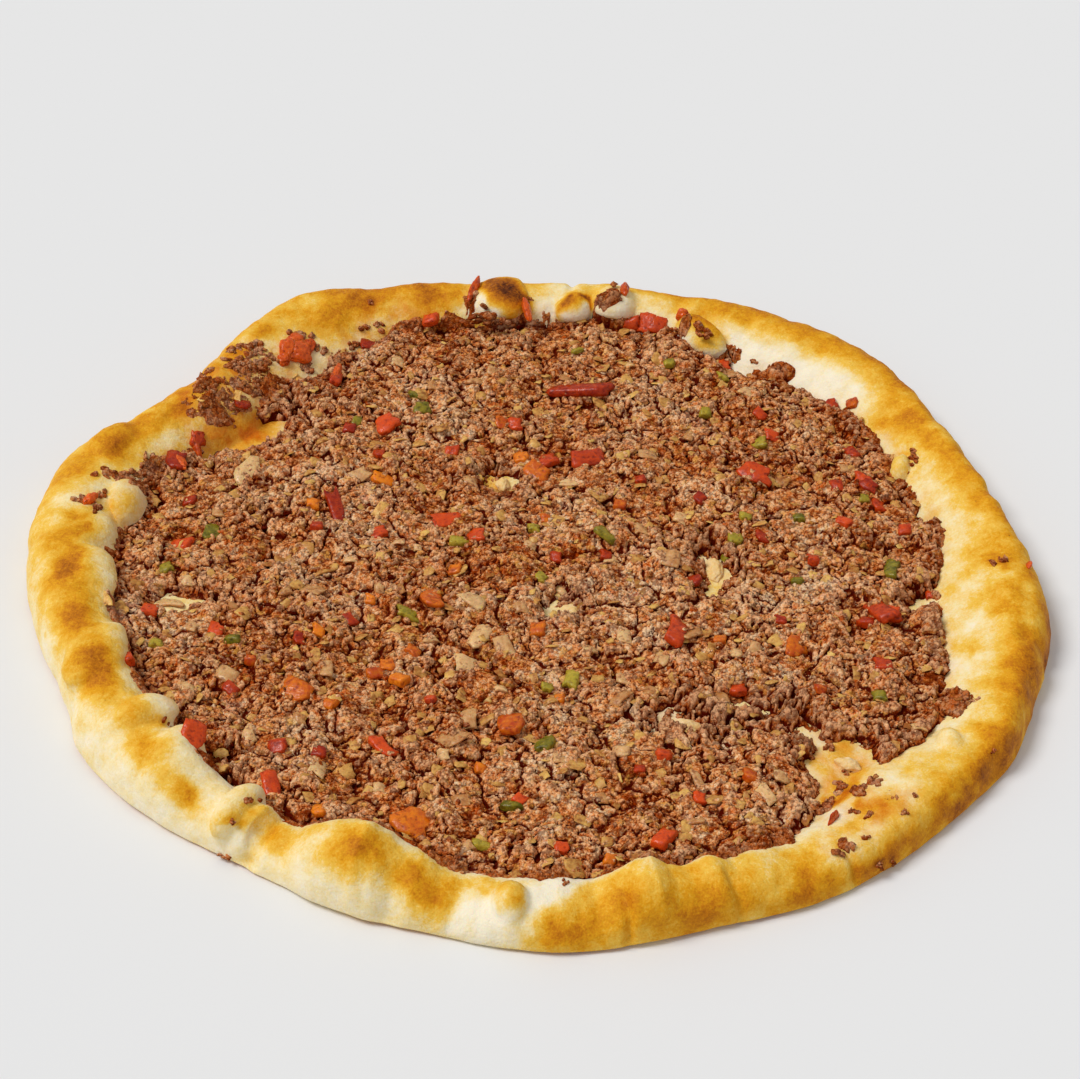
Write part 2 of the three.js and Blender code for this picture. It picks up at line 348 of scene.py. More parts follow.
def normals_of(piece: Piece) -> np.ndarray:
    """The directions of the skin at a piece's vertices, n by 3."""
    flat = np.zeros(len(piece.data.vertices) * 3, np.float32)
    piece.data.vertices.foreach_get("normal", flat)
    return flat.reshape(-1, 3).astype(float)


def move_points(piece: Piece, points: np.ndarray) -> None:
    """Puts a piece's vertices at new places in millimetres, n by 3."""
    piece.data.vertices.foreach_set("co", np.ascontiguousarray(points * MM, np.float32).ravel())
    piece.data.update()


def write_attribute(piece: Piece, name: str, values: np.ndarray) -> None:
    """Stores one number for each vertex under a name, for a material to read."""
    layer = piece.data.attributes.new(name, "FLOAT", "POINT")
    layer.data.foreach_set("value", np.ascontiguousarray(values, np.float32))


def deselect_all() -> None:
    """Leaves nothing selected, so that an operator acts only on what comes next."""
    for other in bpy.context.scene.objects:
        other.select_set(False)


def edit(piece: Piece, steps: Callable[[], None]) -> None:
    """Runs edit mode operators on one piece.

    Args:
        piece: The piece.
        steps: The operators to run.
    """
    deselect_all()
    piece.select_set(True)
    bpy.context.view_layer.objects.active = piece
    bpy.ops.object.mode_set(mode="EDIT")
    steps()
    bpy.ops.object.mode_set(mode="OBJECT")


def select_points(piece: Piece, chosen: np.ndarray) -> None:
    """Selects some vertices of a piece and nothing else.

    Args:
        piece: The piece.
        chosen: For each vertex, whether it is selected.
    """
    mesh = piece.data
    mesh.polygons.foreach_set("select", np.zeros(len(mesh.polygons), bool))
    mesh.edges.foreach_set("select", np.zeros(len(mesh.edges), bool))
    mesh.vertices.foreach_set("select", np.ascontiguousarray(chosen))
    mesh.update()


def flat_sheet(name: str, columns: int, rows: int) -> Piece:
    """Lays down a flat sheet of dough, a grid of quads one unit square.

    Args:
        name: The piece's name.
        columns: Faces along X.
        rows: Faces along Y.

    Returns:
        The sheet.
    """
    deselect_all()
    bpy.ops.mesh.primitive_grid_add(x_subdivisions=columns, y_subdivisions=rows, size=1.0)
    sheet = bpy.context.object
    sheet.name = sheet.data.name = name
    return sheet


def smooth(piece: Piece) -> None:
    """Shades every face of a piece smooth."""
    piece.data.polygons.foreach_set("use_smooth", np.ones(len(piece.data.polygons), bool))
    piece.data.update()


def tree_of(piece: Piece) -> BVHTree:
    """A search tree of a piece's faces, in metres."""
    mesh = piece.data
    corners = [tuple(face.vertices) for face in mesh.polygons]
    return BVHTree.FromPolygons([v.co.copy() for v in mesh.vertices], corners)


# ---- Node helper ----
def add_node(
    tree: bpy.types.NodeTree, kind: str, settings: dict | None = None, inputs: dict | None = None
) -> bpy.types.Node:
    """Adds a node with its settings and its links.

    Args:
        tree: The material's node tree.
        kind: The node's type name without its common start, such as "Mix".
        settings: Node properties by name; "stops" holds the places and hex colours of a colour ramp.
        inputs: For an input's number or name, the socket that feeds it or its constant value.

    Returns:
        The node.
    """
    node = tree.nodes.new("ShaderNode" + kind)
    settings = dict(settings or {})
    for element, (place, code) in enumerate(settings.pop("stops", ())):
        if element >= len(node.color_ramp.elements):
            node.color_ramp.elements.new(place)
        node.color_ramp.elements[element].position = place
        node.color_ramp.elements[element].color = hex_linear(code)
    for name, value in settings.items():
        setattr(node, name, value)
    for key, value in (inputs or {}).items():
        if isinstance(value, Socket):
            tree.links.new(value, node.inputs[key])
        else:
            node.inputs[key].default_value = value
    return node


class Surface:
    """A new material with its surface shader, to which a finish adds its nodes."""

    def __init__(self, name: str, constants: dict) -> None:
        """Starts the material.

        Args:
            name: The material's name.
            constants: Values that are the same all over, by the name of the shader's socket.
        """
        self.material = bpy.data.materials.new(name)
        self.material.use_nodes = True
        self.tree = self.material.node_tree
        self.shader = self.tree.nodes["Principled BSDF"]
        for key, value in constants.items():
            self.shader.inputs[key].default_value = value
        self.place = self.add("TexCoord", take="Object")

    def add(
        self, kind: str, settings: dict | None = None, inputs: dict | None = None, take: int | str = 0
    ) -> Socket:
        """Adds a node to this material, as add_node does, and gives the output of a name or number."""
        return add_node(self.tree, kind, settings, inputs).outputs[take]

    def finish(self, colour: Socket, normal: Socket, **others: Socket) -> bpy.types.Material:
        """Links the last nodes to the shader.

        Args:
            colour: The base colour.
            normal: The bumped normal.
            others: Further sockets by the name of the shader's socket.

        Returns:
            The material.
        """
        for key, socket in {"Base Color": colour, "Normal": normal, **others}.items():
            self.tree.links.new(socket, self.shader.inputs[key])
        return self.material


@dataclass(frozen=True)
class Mottle:
    """A pattern of soft spots on a surface."""

    width_mm: float
    detail: float  # how many finer sizes lie on the spots
    roughness: float = 0.5  # how strong those are

    def inputs(self, place: Socket) -> dict:
        """What a noise texture is fed with, and the place that it reads."""
        scale = 1 / (self.width_mm * MM)
        return {"Vector": place, "Scale": scale, "Detail": self.detail, "Roughness": self.roughness}


# Numbers of the sockets of a colour mix and of a range node.
SHARE, FIRST, SECOND, MIXED = 0, 6, 7, 2
VALUE, LOW, HIGH, TO_LOW, TO_HIGH = range(5)
# Settings that recur.
MIX_COLOUR = {"data_type": "RGBA"}
MIX_MULTIPLY = {"data_type": "RGBA", "blend_type": "MULTIPLY"}
SOFT = {"interpolation_type": "SMOOTHSTEP"}
MINUS, TIMES, PLUS = {"operation": "SUBTRACT"}, {"operation": "MULTIPLY"}, {"operation": "ADD"}
PLUS_CLAMPED = {"operation": "ADD", "use_clamp": True}


# ---- Finishes ----
@dataclass(frozen=True)
class BakedDough:
    """Yeast dough baked on hot stone: a dry, finely pored skin.

    It is cream where it stayed soft, gold to dark brown where the heat caught it, and orange where fat ran.
    """

    name: str = "baked_dough"
    cloud: Mottle = Mottle(6.0, 6.0, 0.7)
    pore: Mottle = Mottle(1.2, 2.0, 0.6)
    flour: Mottle = Mottle(0.5, 2.0, 0.5)  # real grains are half as wide, and would not show
    blister: Mottle = Mottle(3.4, 3.0, 0.5)
    speck_mm: float = 2.6
    scorch: str = "5A2A08"
    oil: str = "EAA030"
    oil_share: float = 0.92  # how much of the oil's colour the wettest skin takes
    shades: tuple[tuple[float, str], ...] = (
        (0.00, "F8ECD0"), (0.12, "F6DEA0"), (0.26, "F0C04A"), (0.42, "E39F12"),
        (0.58, "CA7C06"), (0.74, "A45A04"), (0.88, "6A3004"), (1.00, "2A1004"),
    )

    def material(self) -> bpy.types.Material:
        """Builds the material, which reads the bake and oil attributes of the mesh."""
        skin = Surface(self.name, {
            "IOR": 1.45, "Specular IOR Level": 0.2, "Subsurface Weight": 0.12, "Subsurface Scale": 0.0025,
            "Subsurface Radius": (1.0, 0.55, 0.25),
        })
        bake, oil = (skin.add("Attribute", {"attribute_name": name}, take="Fac") for name in ("bake", "oil"))
        cloud, pore, flour, blister = (
            skin.add("TexNoise", {}, mottle.inputs(skin.place))
            for mottle in (self.cloud, self.pore, self.flour, self.blister)
        )
        # Heat catches the raised skin unevenly, so the browning is broken up more where there is more of it.
        sway = skin.add("Math", MINUS, {0: cloud, 1: 0.5})
        grain = skin.add("Math", PLUS, {0: pore, 1: flour})
        grain = skin.add("MapRange", {}, {VALUE: grain, HIGH: 2.0, TO_LOW: -0.5, TO_HIGH: 0.5})
        sway = skin.add("Math", PLUS, {0: sway, 1: grain})
        depth = skin.add("MapRange", {}, {VALUE: bake, HIGH: 0.6, TO_LOW: 0.22, TO_HIGH: 0.62})
        level = skin.add("Math", TIMES, {0: sway, 1: depth})
        level = skin.add("Math", PLUS_CLAMPED, {0: level, 1: bake})
        colour = skin.add("ValToRGB", {"stops": self.shades}, {0: level})
        # Scorched specks are thick in the browned skin and rare in the pale.
        speck = {"Vector": skin.place, "Scale": 1 / (self.speck_mm * MM)}
        speck = skin.add("TexVoronoi", {}, speck, "Distance")
        speck = skin.add("MapRange", SOFT, {VALUE: speck, LOW: 0.16, HIGH: 0.05})
        chance = skin.add("MapRange", SOFT, {VALUE: cloud, LOW: 0.5, HIGH: 0.66})
        often = skin.add("MapRange", SOFT, {VALUE: bake, LOW: 0.15, HIGH: 0.6, TO_LOW: 0.12, TO_HIGH: 0.8})
        for factor in (chance, often):
            speck = skin.add("Math", TIMES, {0: speck, 1: factor})
        wet = skin.add("Math", TIMES, {0: oil, 1: self.oil_share})
        for mix, share, code in ((MIX_MULTIPLY, wet, self.oil), (MIX_COLOUR, speck, self.scorch)):
            colour = skin.add("Mix", mix, {SHARE: share, FIRST: colour, SECOND: hex_linear(code)}, MIXED)
        rough = skin.add("MapRange", SOFT, {VALUE: oil, LOW: 0.0, HIGH: 0.9, TO_LOW: 0.68, TO_HIGH: 0.36})
        bump = skin.add("Bump", {}, {"Strength": 0.7, "Distance": 0.6 * MM, "Height": blister})
        for height, strength, depth_mm in ((pore, 0.7, 0.3), (flour, 0.6, 0.16)):
            bump = skin.add("Bump", {}, {
                "Strength": strength, "Distance": depth_mm * MM, "Height": height, "Normal": bump,
            })
        return skin.finish(colour, bump, Roughness=rough)


@dataclass(frozen=True)
class CookedMince:
    """Minced lamb cooked through: dry crumbs with a moist sheen, with painted highlight of pale tan on top
    and painted shade of red-brown in the cracks.

    Grains of paprika turn some crumbs orange, and fat and onion leave others straw-coloured.
    """

    name: str = "cooked_mince"
    granule_mm: float = 1.7
    kernel_mm: float = 0.75
    wander_mm: float = 0.35  # how far the outlines of the granules stray
    grit: Mottle = Mottle(0.42, 2.0, 0.6)
    drift: Mottle = Mottle(9.0, 4.0, 0.65)
    sweep: Mottle = Mottle(24.0, 1.0, 0.5)
    shades: tuple[tuple[float, str], ...] = (
        (0.0, "762400"), (0.25, "C05E20"), (0.5, "F09A56"), (0.75, "FEC088"), (1.0, "FFDCB0"),
    )
    # Painted shade: the dark red-brown that the gaps between granules and the hollows are darkened with.
    crack: str = "5A1000"
    paprika: str = "D8560A"
    straw: str = "F0B450"
    # Painted highlight: the pale tan that the raised tops are lightened with.
    dry: str = "FFCA98"
    seared: str = "A84A12"
    burnt: str = "3C1606"

    def material(self) -> bpy.types.Material:
        """Builds the material, which reads the tone, lift, spice, sear and char attributes of the mesh."""
        meat = Surface(self.name, {
            "IOR": 1.42, "Subsurface Weight": 0.05, "Subsurface Scale": 0.001,
            "Subsurface Radius": (1.0, 0.4, 0.2),
        })
        tone, lift, spice, sear, char = (
            meat.add("Attribute", {"attribute_name": name}, take="Fac")
            for name in ("tone", "lift", "spice", "sear", "char")
        )
        grit, drift, sweep = (
            meat.add("TexNoise", {}, mottle.inputs(meat.place))
            for mottle in (self.grit, self.drift, self.sweep)
        )
        # Each granule of meat has a tone of its own, and painted shade darkens it where it meets the next.
        stray = meat.add("TexNoise", {}, Mottle(self.granule_mm, 2.0).inputs(meat.place), "Color")
        bent = meat.add("VectorMath", {"operation": "MULTIPLY_ADD"}, {
            0: stray, 1: (2 * self.wander_mm * MM,) * 3, 2: meat.place,
        })
        granule, kernel = (
            add_node(meat.tree, "TexVoronoi", {}, {"Vector": bent, "Scale": 1 / (width * MM)}).outputs
            for width in (self.granule_mm, self.kernel_mm)
        )
        own, lesser = (
            add_node(meat.tree, "SeparateColor", {}, {0: cells["Color"]}).outputs
            for cells in (granule, kernel)
        )
        gap = meat.add("Math", PLUS, {0: granule["Distance"], 1: kernel["Distance"]})
        each = meat.add("Math", PLUS, {0: own[0], 1: lesser[0]})
        each = meat.add("MapRange", {}, {VALUE: each, HIGH: 2.0, TO_LOW: -0.34, TO_HIGH: 0.34})
        fine, broad, wide = (
            meat.add("MapRange", {}, {VALUE: pattern, TO_LOW: -reach, TO_HIGH: reach})
            for pattern, reach in ((grit, 0.6), (drift, 0.6), (sweep, 0.55))
        )
        level = fine
        for part in (broad, wide, each):
            level = meat.add("Math", PLUS, {0: level, 1: part})
        level = meat.add("Math", PLUS_CLAMPED, {0: level, 1: tone})
        colour = meat.add("ValToRGB", {"stops": self.shades}, {0: level})
        tints = (  # what it goes by, where it starts and where it is full, its greatest share and its colour
            (own[1], 0.08, 0.02, 0.38, self.paprika),
            (own[1], 0.90, 0.97, 0.42, self.straw),
            (lesser[1], 0.06, 0.01, 0.30, self.paprika),
            (lesser[1], 0.93, 0.98, 0.30, self.straw),
            (spice, 0.13, 0.04, 0.42, self.paprika),
            (drift, 0.54, 0.70, 0.36, self.paprika),
            (spice, 0.88, 0.97, 0.45, self.straw),
            (sear, 0.1, 1.0, 0.60, self.seared),
            # Painted highlight on the raised tops, where the lift is high.
            (lift, 0.64, 1.0, 0.55, self.dry),
            # Painted shade in the gaps between granules.
            (gap, 0.88, 1.35, 0.64, self.crack),
            (char, 0.1, 1.0, 0.75, self.burnt),
            # Painted shade in the hollows, where the lift is low.
            (lift, 0.55, 0.26, 1.0, self.crack),
        )
        for source, start, full, most, code in tints:
            share = meat.add("MapRange", SOFT, {VALUE: source, LOW: start, HIGH: full, TO_HIGH: most})
            inputs = {SHARE: share, FIRST: colour, SECOND: hex_linear(code)}
            colour = meat.add("Mix", MIX_COLOUR, inputs, MIXED)
        rough = meat.add("MapRange", {}, {VALUE: grit, LOW: 0.3, HIGH: 0.7, TO_LOW: 0.34, TO_HIGH: 0.55})
        # Specks of wet fat glint.
        glint = meat.add("MapRange", {}, {VALUE: grit, LOW: 0.54, HIGH: 0.72, TO_LOW: 0.0, TO_HIGH: 0.35})
        body = meat.add("Math", MINUS, {0: 1.0, 1: gap})
        bump = meat.add("Bump", {}, {"Strength": 0.7, "Distance": 0.35 * MM, "Height": body})
        bump = meat.add("Bump", {}, {"Strength": 1.0, "Distance": 0.5 * MM, "Height": grit, "Normal": bump})
        return meat.finish(colour, bump, **{"Roughness": rough, "Specular IOR Level": glint})


@dataclass(frozen=True)
class RoastedVegetable:
    """Diced vegetable roasted in fat: a taut wet skin with painted shade in its hollows, over flesh that lets
    light in.
    """

    name: str
    pale: str
    deep: str
    roughness: float = 0.24
    soak: float = 0.25  # share of the light that goes through the flesh
    flesh: Mottle = Mottle(1.5, 4.0, 0.6)
    wrinkle: Mottle = Mottle(1.3, 3.0)
    shadow: str = "8A3A10"  # painted shade: what the hollows of the skin are darkened with

    def material(self) -> bpy.types.Material:
        """Builds the material, which reads the tone attribute of the mesh."""
        skin = Surface(self.name, {
            "IOR": 1.4, "Specular IOR Level": 0.4, "Subsurface Weight": self.soak, "Subsurface Scale": 0.0015,
            "Subsurface Radius": (1.0, 0.5, 0.25),
        })
        tone = skin.add("Attribute", {"attribute_name": "tone"}, take="Fac")
        flesh, wrinkle = (
            skin.add("TexNoise", {}, mottle.inputs(skin.place)) for mottle in (self.flesh, self.wrinkle)
        )
        sway = skin.add("MapRange", {}, {VALUE: flesh, TO_LOW: -0.9, TO_HIGH: 0.9})
        level = skin.add("Math", PLUS_CLAMPED, {0: tone, 1: sway})
        colour = skin.add("Mix", MIX_COLOUR, {
            SHARE: level, FIRST: hex_linear(self.pale), SECOND: hex_linear(self.deep),
        }, MIXED)
        shade = skin.add("MapRange", SOFT, {VALUE: wrinkle, LOW: 0.46, HIGH: 0.3, TO_LOW: 0.0, TO_HIGH: 0.6})
        colour = skin.add("Mix", MIX_MULTIPLY, {
            SHARE: shade, FIRST: colour, SECOND: hex_linear(self.shadow),
        }, MIXED)
        rough = skin.add("MapRange", SOFT, {
            VALUE: flesh, LOW: 0.3, HIGH: 0.75, TO_LOW: self.roughness - 0.08, TO_HIGH: self.roughness + 0.25,
        })
        bump = skin.add("Bump", {}, {"Strength": 0.6, "Distance": 0.5 * MM, "Height": wrinkle})
        return skin.finish(colour, bump, Roughness=rough)


@dataclass(frozen=True)
class StudioTable:
    """Matt white laminate: an even pale surface with no pattern of its own."""

    name: str = "matt_table"
    colour: str = "E9E9E9"

    def material(self) -> bpy.types.Material:
        """Builds the material."""
        return Surface(self.name, {"Base Color": hex_linear(self.colour), "Roughness": 0.9}).material


# ---- Plan ----
class Plan:
    """The bread in plan, and the step from the plan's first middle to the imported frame's origin."""

    def __init__(self) -> None:
        """Finds the step from a piece whose place in the plan is known."""
        low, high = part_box(LANDMARK_NODE)
        middle = (low + high) / 2 / MM
        self.shift = np.array((middle.x - LANDMARK_PLACE[0], middle.y - LANDMARK_PLACE[1]))

    def polar(self, plan: np.ndarray) -> tuple[np.ndarray, np.ndarray]:
        """Bearing in degrees and distance from the plan's first middle, of centred places."""
        x, y = (plan[:, :2] - self.shift).T
        return np.degrees(np.arctan2(y, x)), np.hypot(x, y)

    def place(self, bearing: np.ndarray, radius: np.ndarray) -> np.ndarray:
        """Centred places, n by 2, of bearings in degrees and distances."""
        turn = np.radians(bearing)
        return np.stack([radius * np.cos(turn), radius * np.sin(turn)], -1) + self.shift


# ---- Camera frame ----
@dataclass(frozen=True)
class Patch:
    """An oval on the picture frame: its middle and size in pixels, and the turn of its length in degrees."""

    x: float
    y: float
    long: float
    wide: float
    turn: float = 0.0  # clockwise


@dataclass(frozen=True)
class PictureFrame:
    """The standing eye's view of the table, and the places on the food behind a point of the picture."""

    plan: Plan
    width: int = 1080  # picture size in pixels
    height: int = 1079
    lens: float = 85.0
    sensor: float = 36.0
    elevation: float = 40.0  # degrees above the table
    steeper: float = 1.5  # degrees by which most of the food is seen more steeply than the point looked at
    distance: float = 730.0  # from the eye to the point looked at
    aim: tuple[float, float, float] = (3.8, 22.0, 0.0)  # point looked at, in the uncentred plan

    @property
    def back(self) -> Vector:
        """Direction from the point looked at to the eye."""
        up = math.radians(self.elevation)
        return Vector((0.0, -math.cos(up), math.sin(up)))

    @property
    def focal(self) -> float:
        """Distance from the eye to the picture, in pixels."""
        return self.lens / self.sensor * self.width

    @property
    def squash(self) -> float:
        """Depth of a level circle on the picture as a share of its width."""
        return math.sin(math.radians(self.elevation + self.steeper))

    @property
    def eye(self) -> Vector:
        """The eye's place in metres, in the centred plan."""
        aim = Vector(self.aim) + Vector((*self.plan.shift, 0.0))
        return (aim + self.back * self.distance) * MM

    def ray(self, x: float, y: float) -> Vector:
        """Direction from the eye through a point of the picture.

        Args:
            x: Pixels from the left.
            y: Pixels from the top.

        Returns:
            The direction, of length one.
        """
        right = Vector((1.0, 0.0, 0.0))
        forward = -self.back
        up = right.cross(forward)
        across, down = (x - self.width / 2) / self.focal, (y - self.height / 2) / self.focal
        return (forward + right * across - up * down).normalized()

    def behind(self, tree: BVHTree, x: float, y: float) -> tuple[Vector | None, Vector | None]:
        """Place in metres and direction of a surface behind a point of the picture, or None beside it."""
        return tree.ray_cast(self.eye, self.ray(x, y))[:2]

    def oval(self, patch: Patch, height: float) -> Oval:
        """Turns an oval on the picture into one in plan.

        Args:
            patch: The oval on the picture.
            height: How high above the table it lies.

        Returns:
            Its middle, the matrix that makes it a unit circle, and its smaller half size.
        """
        scale = self.focal / self.distance
        turn = math.radians(patch.turn)
        long = np.array((math.cos(turn), -math.sin(turn) / self.squash)) * patch.long / 2 / scale
        wide = np.array((math.sin(turn), math.cos(turn) / self.squash)) * patch.wide / 2 / scale
        eye, ray = self.eye, self.ray(patch.x, patch.y)
        middle = np.array(((eye + ray * ((height * MM - eye.z) / ray.z)) / MM).to_2d())
        smaller = min(np.linalg.norm(long), np.linalg.norm(wide))
        return middle, np.linalg.inv(np.column_stack([long, wide])), smaller

    def pixel_size(self, place: np.ndarray) -> float:
        """Width in millimetres of one pixel at a place given in millimetres."""
        away = (Vector(place) * MM - self.eye).dot(-self.back) / MM
        return away / self.focal


# ---- Flatbread ----
@dataclass(frozen=True)
class Fold(Patch):
    """A blister or tongue of bare dough that stands out of the rim."""

    top: float = 15.0  # height above the table
    waist_share = 0.7  # the oval is drawn at this share of the top

    @property
    def waist(self) -> float:
        """Height above the table at which the oval is drawn."""
        return self.waist_share * self.top


FOLDS = (
    Fold(499, 297, 60, 46, 0, 17.4),  # charred knob at the back
    Fold(573, 309, 44, 28, 0, 14.5),  # small back knob
    Fold(614, 303, 50, 34, 0, 16.0),  # dough under the lump at the back
    Fold(699, 331, 64, 30, 30, 15.0),  # curled tongue, back right
    Fold(901, 467, 26, 22, -40, 11.5),  # pale nub, right
    Fold(331, 314, 70, 36, -20, 15.5),  # golden swelling, back left
    Fold(160, 421, 54, 28, -34, 15.0),  # ridge, left of the back
    Fold(112, 447, 56, 36, -25, 17.5),  # toasted bump, left
    Fold(124, 502, 46, 40, 0, 15.0),  # round blister, left
    Fold(93, 531, 44, 28, 10, 15.5),  # small blister outside it
    Fold(84, 582, 60, 60, 0, 17.0),  # broad swelling, left
    Fold(97, 655, 60, 62, 20, 17.5),  # broad swelling, left
    Fold(140, 718, 72, 28, -10, 17.5),  # curled tongue over the mince, left
    Fold(176, 750, 50, 34, -30, 17.0),  # swelling, lower left
    Fold(236, 808, 54, 26, -36, 15.5),  # split roll, lower left
    Fold(510, 897, 36, 28, 0, 15.5),  # toasted blister, near side
    Fold(949, 740, 28, 22, 20, 12.0),  # white nub, lower right
    Fold(1006, 600, 30, 120, 4, 14.5),  # second ridge outside the right crest
)


@dataclass(frozen=True)
class Crease:
    """A nick in the outer wall where the dough was pinched."""

    bearing: float
    depth: float
    width: float


CREASES = tuple(Crease(*row) for row in (  # bearing, depth and width
    (84, 1.2, 1.3), (237, 2.2, 2.6), (255, 1.0, 3.0), (262, 0.7, 1.4), (281, 1.6, 1.1), (293, 1.3, 1.2),
    (306, 1.2, 1.1), (12, 1.0, 3.2), (176, 1.0, 3.5), (205, 0.8, 2.5), (346, 0.8, 2.5), (140, 0.8, 3.0),
    (328, 1.0, 3.0),
))

# The raised lip between the near side of the rim and the mince: places on the picture frame, left to right.
LIP_LINE = (
    (210, 792), (236, 801), (263, 810), (275, 827), (296, 834), (308, 828), (332, 823), (367, 826),
    (379, 836), (406, 854), (420, 861), (441, 875), (461, 883), (482, 886), (520, 886), (560, 886),
    (594, 888), (612, 879), (639, 865), (653, 861), (670, 869), (687, 870), (711, 861), (732, 863),
    (761, 856), (790, 852),
)

BAKE_STEP = 15  # degrees between the stations below
# Percent of browning low on the outer wall, on the shoulder, on the crest and on the inside of the rim.
BAKE_RINGS = (
    (50, 50, 50, 50, 55, 55, 55, 55, 50, 50, 40, 28, 18, 10, 8, 6, 6, 8, 14, 22, 34, 50, 54, 52),
    (42, 36, 44, 42, 46, 34, 36, 44, 34, 32, 34, 26, 24, 17, 14, 8, 10, 12, 20, 24, 30, 40, 42, 42),
    (34, 22, 30, 22, 26, 10, 24, 34, 30, 28, 30, 22, 32, 27, 24, 10, 24, 24, 24, 24, 24, 26, 26, 24),
    (16, 14, 18, 4, 2, 3, 6, 22, 12, 16, 18, 14, 14, 12, 12, 6, 10, 8, 4, 6, 6, 14, 14, 12),
)
# Where the heat caught the dough: place on the picture frame, width in pixels, percent of darkening, and
# below zero of paling.
TOASTED = (
    (690, 341, 20, -50), (702, 350, 18, -50), (700, 318, 20, 70), (566, 300, 10, 80), (585, 299, 12, 80),
    (478, 309, 12, 50), (484, 301, 20, -75), (477, 311, 18, -60), (492, 312, 18, -50), (574, 314, 22, -40),
    (740, 342, 40, -16), (780, 354, 50, -18), (820, 370, 50, -18), (852, 392, 40, -15), (547, 893, 34, -50),
    (576, 892, 30, -40), (490, 915, 44, -45), (522, 924, 40, -35), (462, 908, 36, -30), (240, 434, 56, 30),
    (262, 426, 40, 26), (835, 752, 20, 32), (858, 770, 18, 36), (824, 770, 14, 32), (846, 786, 26, 45),
    (815, 760, 12, 36), (62, 590, 70, 24), (84, 650, 70, 24), (60, 540, 60, 18), (369, 304, 26, 62),
    (332, 322, 42, 42), (338, 305, 50, 25), (320, 291, 30, 42), (350, 290, 32, 48), (385, 289, 34, 42),
    (420, 288, 34, 45), (452, 288, 28, 45), (262, 330, 22, 36), (234, 349, 24, 35), (200, 372, 22, 35),
    (432, 300, 46, 20), (300, 318, 30, 20), (500, 284, 28, 100), (512, 290, 28, 100), (521, 297, 24, 95),
    (500, 296, 22, 80), (526, 308, 16, 70), (489, 282, 20, 95), (513, 301, 22, 85), (478, 320, 20, 45),
    (508, 316, 12, 60), (574, 299, 22, 60), (563, 304, 14, 60), (568, 299, 10, 65), (582, 298, 12, 70),
    (589, 304, 12, 60), (572, 284, 30, 30), (560, 320, 8, 45), (686, 320, 24, 62), (704, 322, 30, 62),
    (714, 335, 28, 60), (697, 333, 24, 55), (708, 345, 18, 45), (600, 288, 40, 30), (640, 290, 40, 38),
    (680, 297, 40, 42), (720, 305, 42, 42), (755, 314, 42, 42), (790, 324, 42, 40), (822, 337, 42, 40),
    (850, 350, 40, 40), (875, 363, 38, 40), (897, 382, 34, 42), (879, 423, 24, 55), (903, 424, 30, 32),
    (924, 434, 22, 50), (918, 415, 34, 36), (936, 440, 34, 42), (952, 456, 32, 42), (968, 474, 32, 42),
    (986, 494, 28, 55), (1000, 510, 24, 42), (1003, 560, 20, 30), (1003, 563, 10, 55), (991, 564, 8, 60),
    (1012, 556, 20, 30), (1003, 590, 34, 40), (1012, 612, 30, 50), (1021, 636, 30, 52), (1024, 662, 30, 58),
    (1020, 688, 32, 58), (1008, 706, 24, 36), (986, 726, 24, 34), (1003, 728, 28, 36), (996, 752, 22, 36),
    (984, 776, 22, 38), (966, 798, 22, 40), (944, 820, 22, 42), (918, 840, 22, 44), (891, 856, 22, 46),
    (863, 873, 22, 46), (833, 887, 22, 42), (803, 899, 22, 38), (772, 908, 22, 32), (950, 778, 30, 14),
    (925, 798, 30, 12), (848, 792, 16, 50), (838, 802, 14, 50), (858, 804, 14, 55), (870, 812, 14, 45),
    (884, 808, 26, 30), (826, 800, 12, 45), (852, 826, 16, 35), (801, 872, 24, 48), (815, 880, 26, 24),
    (879, 866, 7, 80), (893, 862, 5, 60), (968, 646, 26, 22), (975, 600, 20, 16), (985, 680, 22, 22),
    (715, 895, 40, 36), (740, 898, 44, 30), (698, 918, 30, 28), (660, 905, 44, 30), (624, 892, 30, 46),
    (600, 915, 44, 30), (569, 930, 40, 50), (548, 935, 34, 42), (585, 940, 28, 40), (520, 930, 50, 20),
    (640, 925, 40, 26), (690, 925, 40, 26), (513, 893, 22, 62), (520, 900, 18, 40), (500, 890, 14, 30),
    (446, 895, 26, 52), (430, 905, 30, 25), (406, 874, 30, 50), (420, 885, 24, 35), (372, 858, 36, 34),
    (344, 853, 30, 44), (356, 848, 26, 36), (315, 856, 26, 22), (275, 838, 26, 48), (352, 832, 22, 36),
    (375, 846, 24, 40), (230, 819, 10, 60), (246, 822, 10, 45), (240, 812, 20, 20), (212, 824, 26, 18),
    (186, 797, 26, 58), (190, 800, 14, 30), (170, 778, 30, 25), (151, 752, 32, 42), (140, 740, 26, 30),
    (140, 716, 24, 30), (160, 722, 16, 35), (124, 712, 20, 18), (94, 665, 34, 52), (98, 685, 30, 50),
    (90, 648, 26, 42), (74, 623, 32, 60), (70, 610, 26, 40), (63, 573, 30, 54), (70, 560, 26, 38),
    (86, 531, 15, 62), (78, 516, 18, 30), (116, 447, 26, 55), (122, 437, 40, 42), (100, 445, 34, 30),
    (140, 425, 34, 36), (151, 420, 24, 34), (76, 466, 38, 42), (62, 480, 30, 30), (90, 455, 34, 20),
    (170, 400, 34, 34), (190, 385, 26, 34), (170, 412, 26, 34), (72, 512, 12, 42), (120, 500, 24, 30),
    (134, 497, 14, 24), (220, 856, 9, 95), (212, 852, 6, 80), (45, 640, 10, 35), (60, 700, 12, 30),
    (906, 454, 10, 25), (250, 860, 20, 15),
)
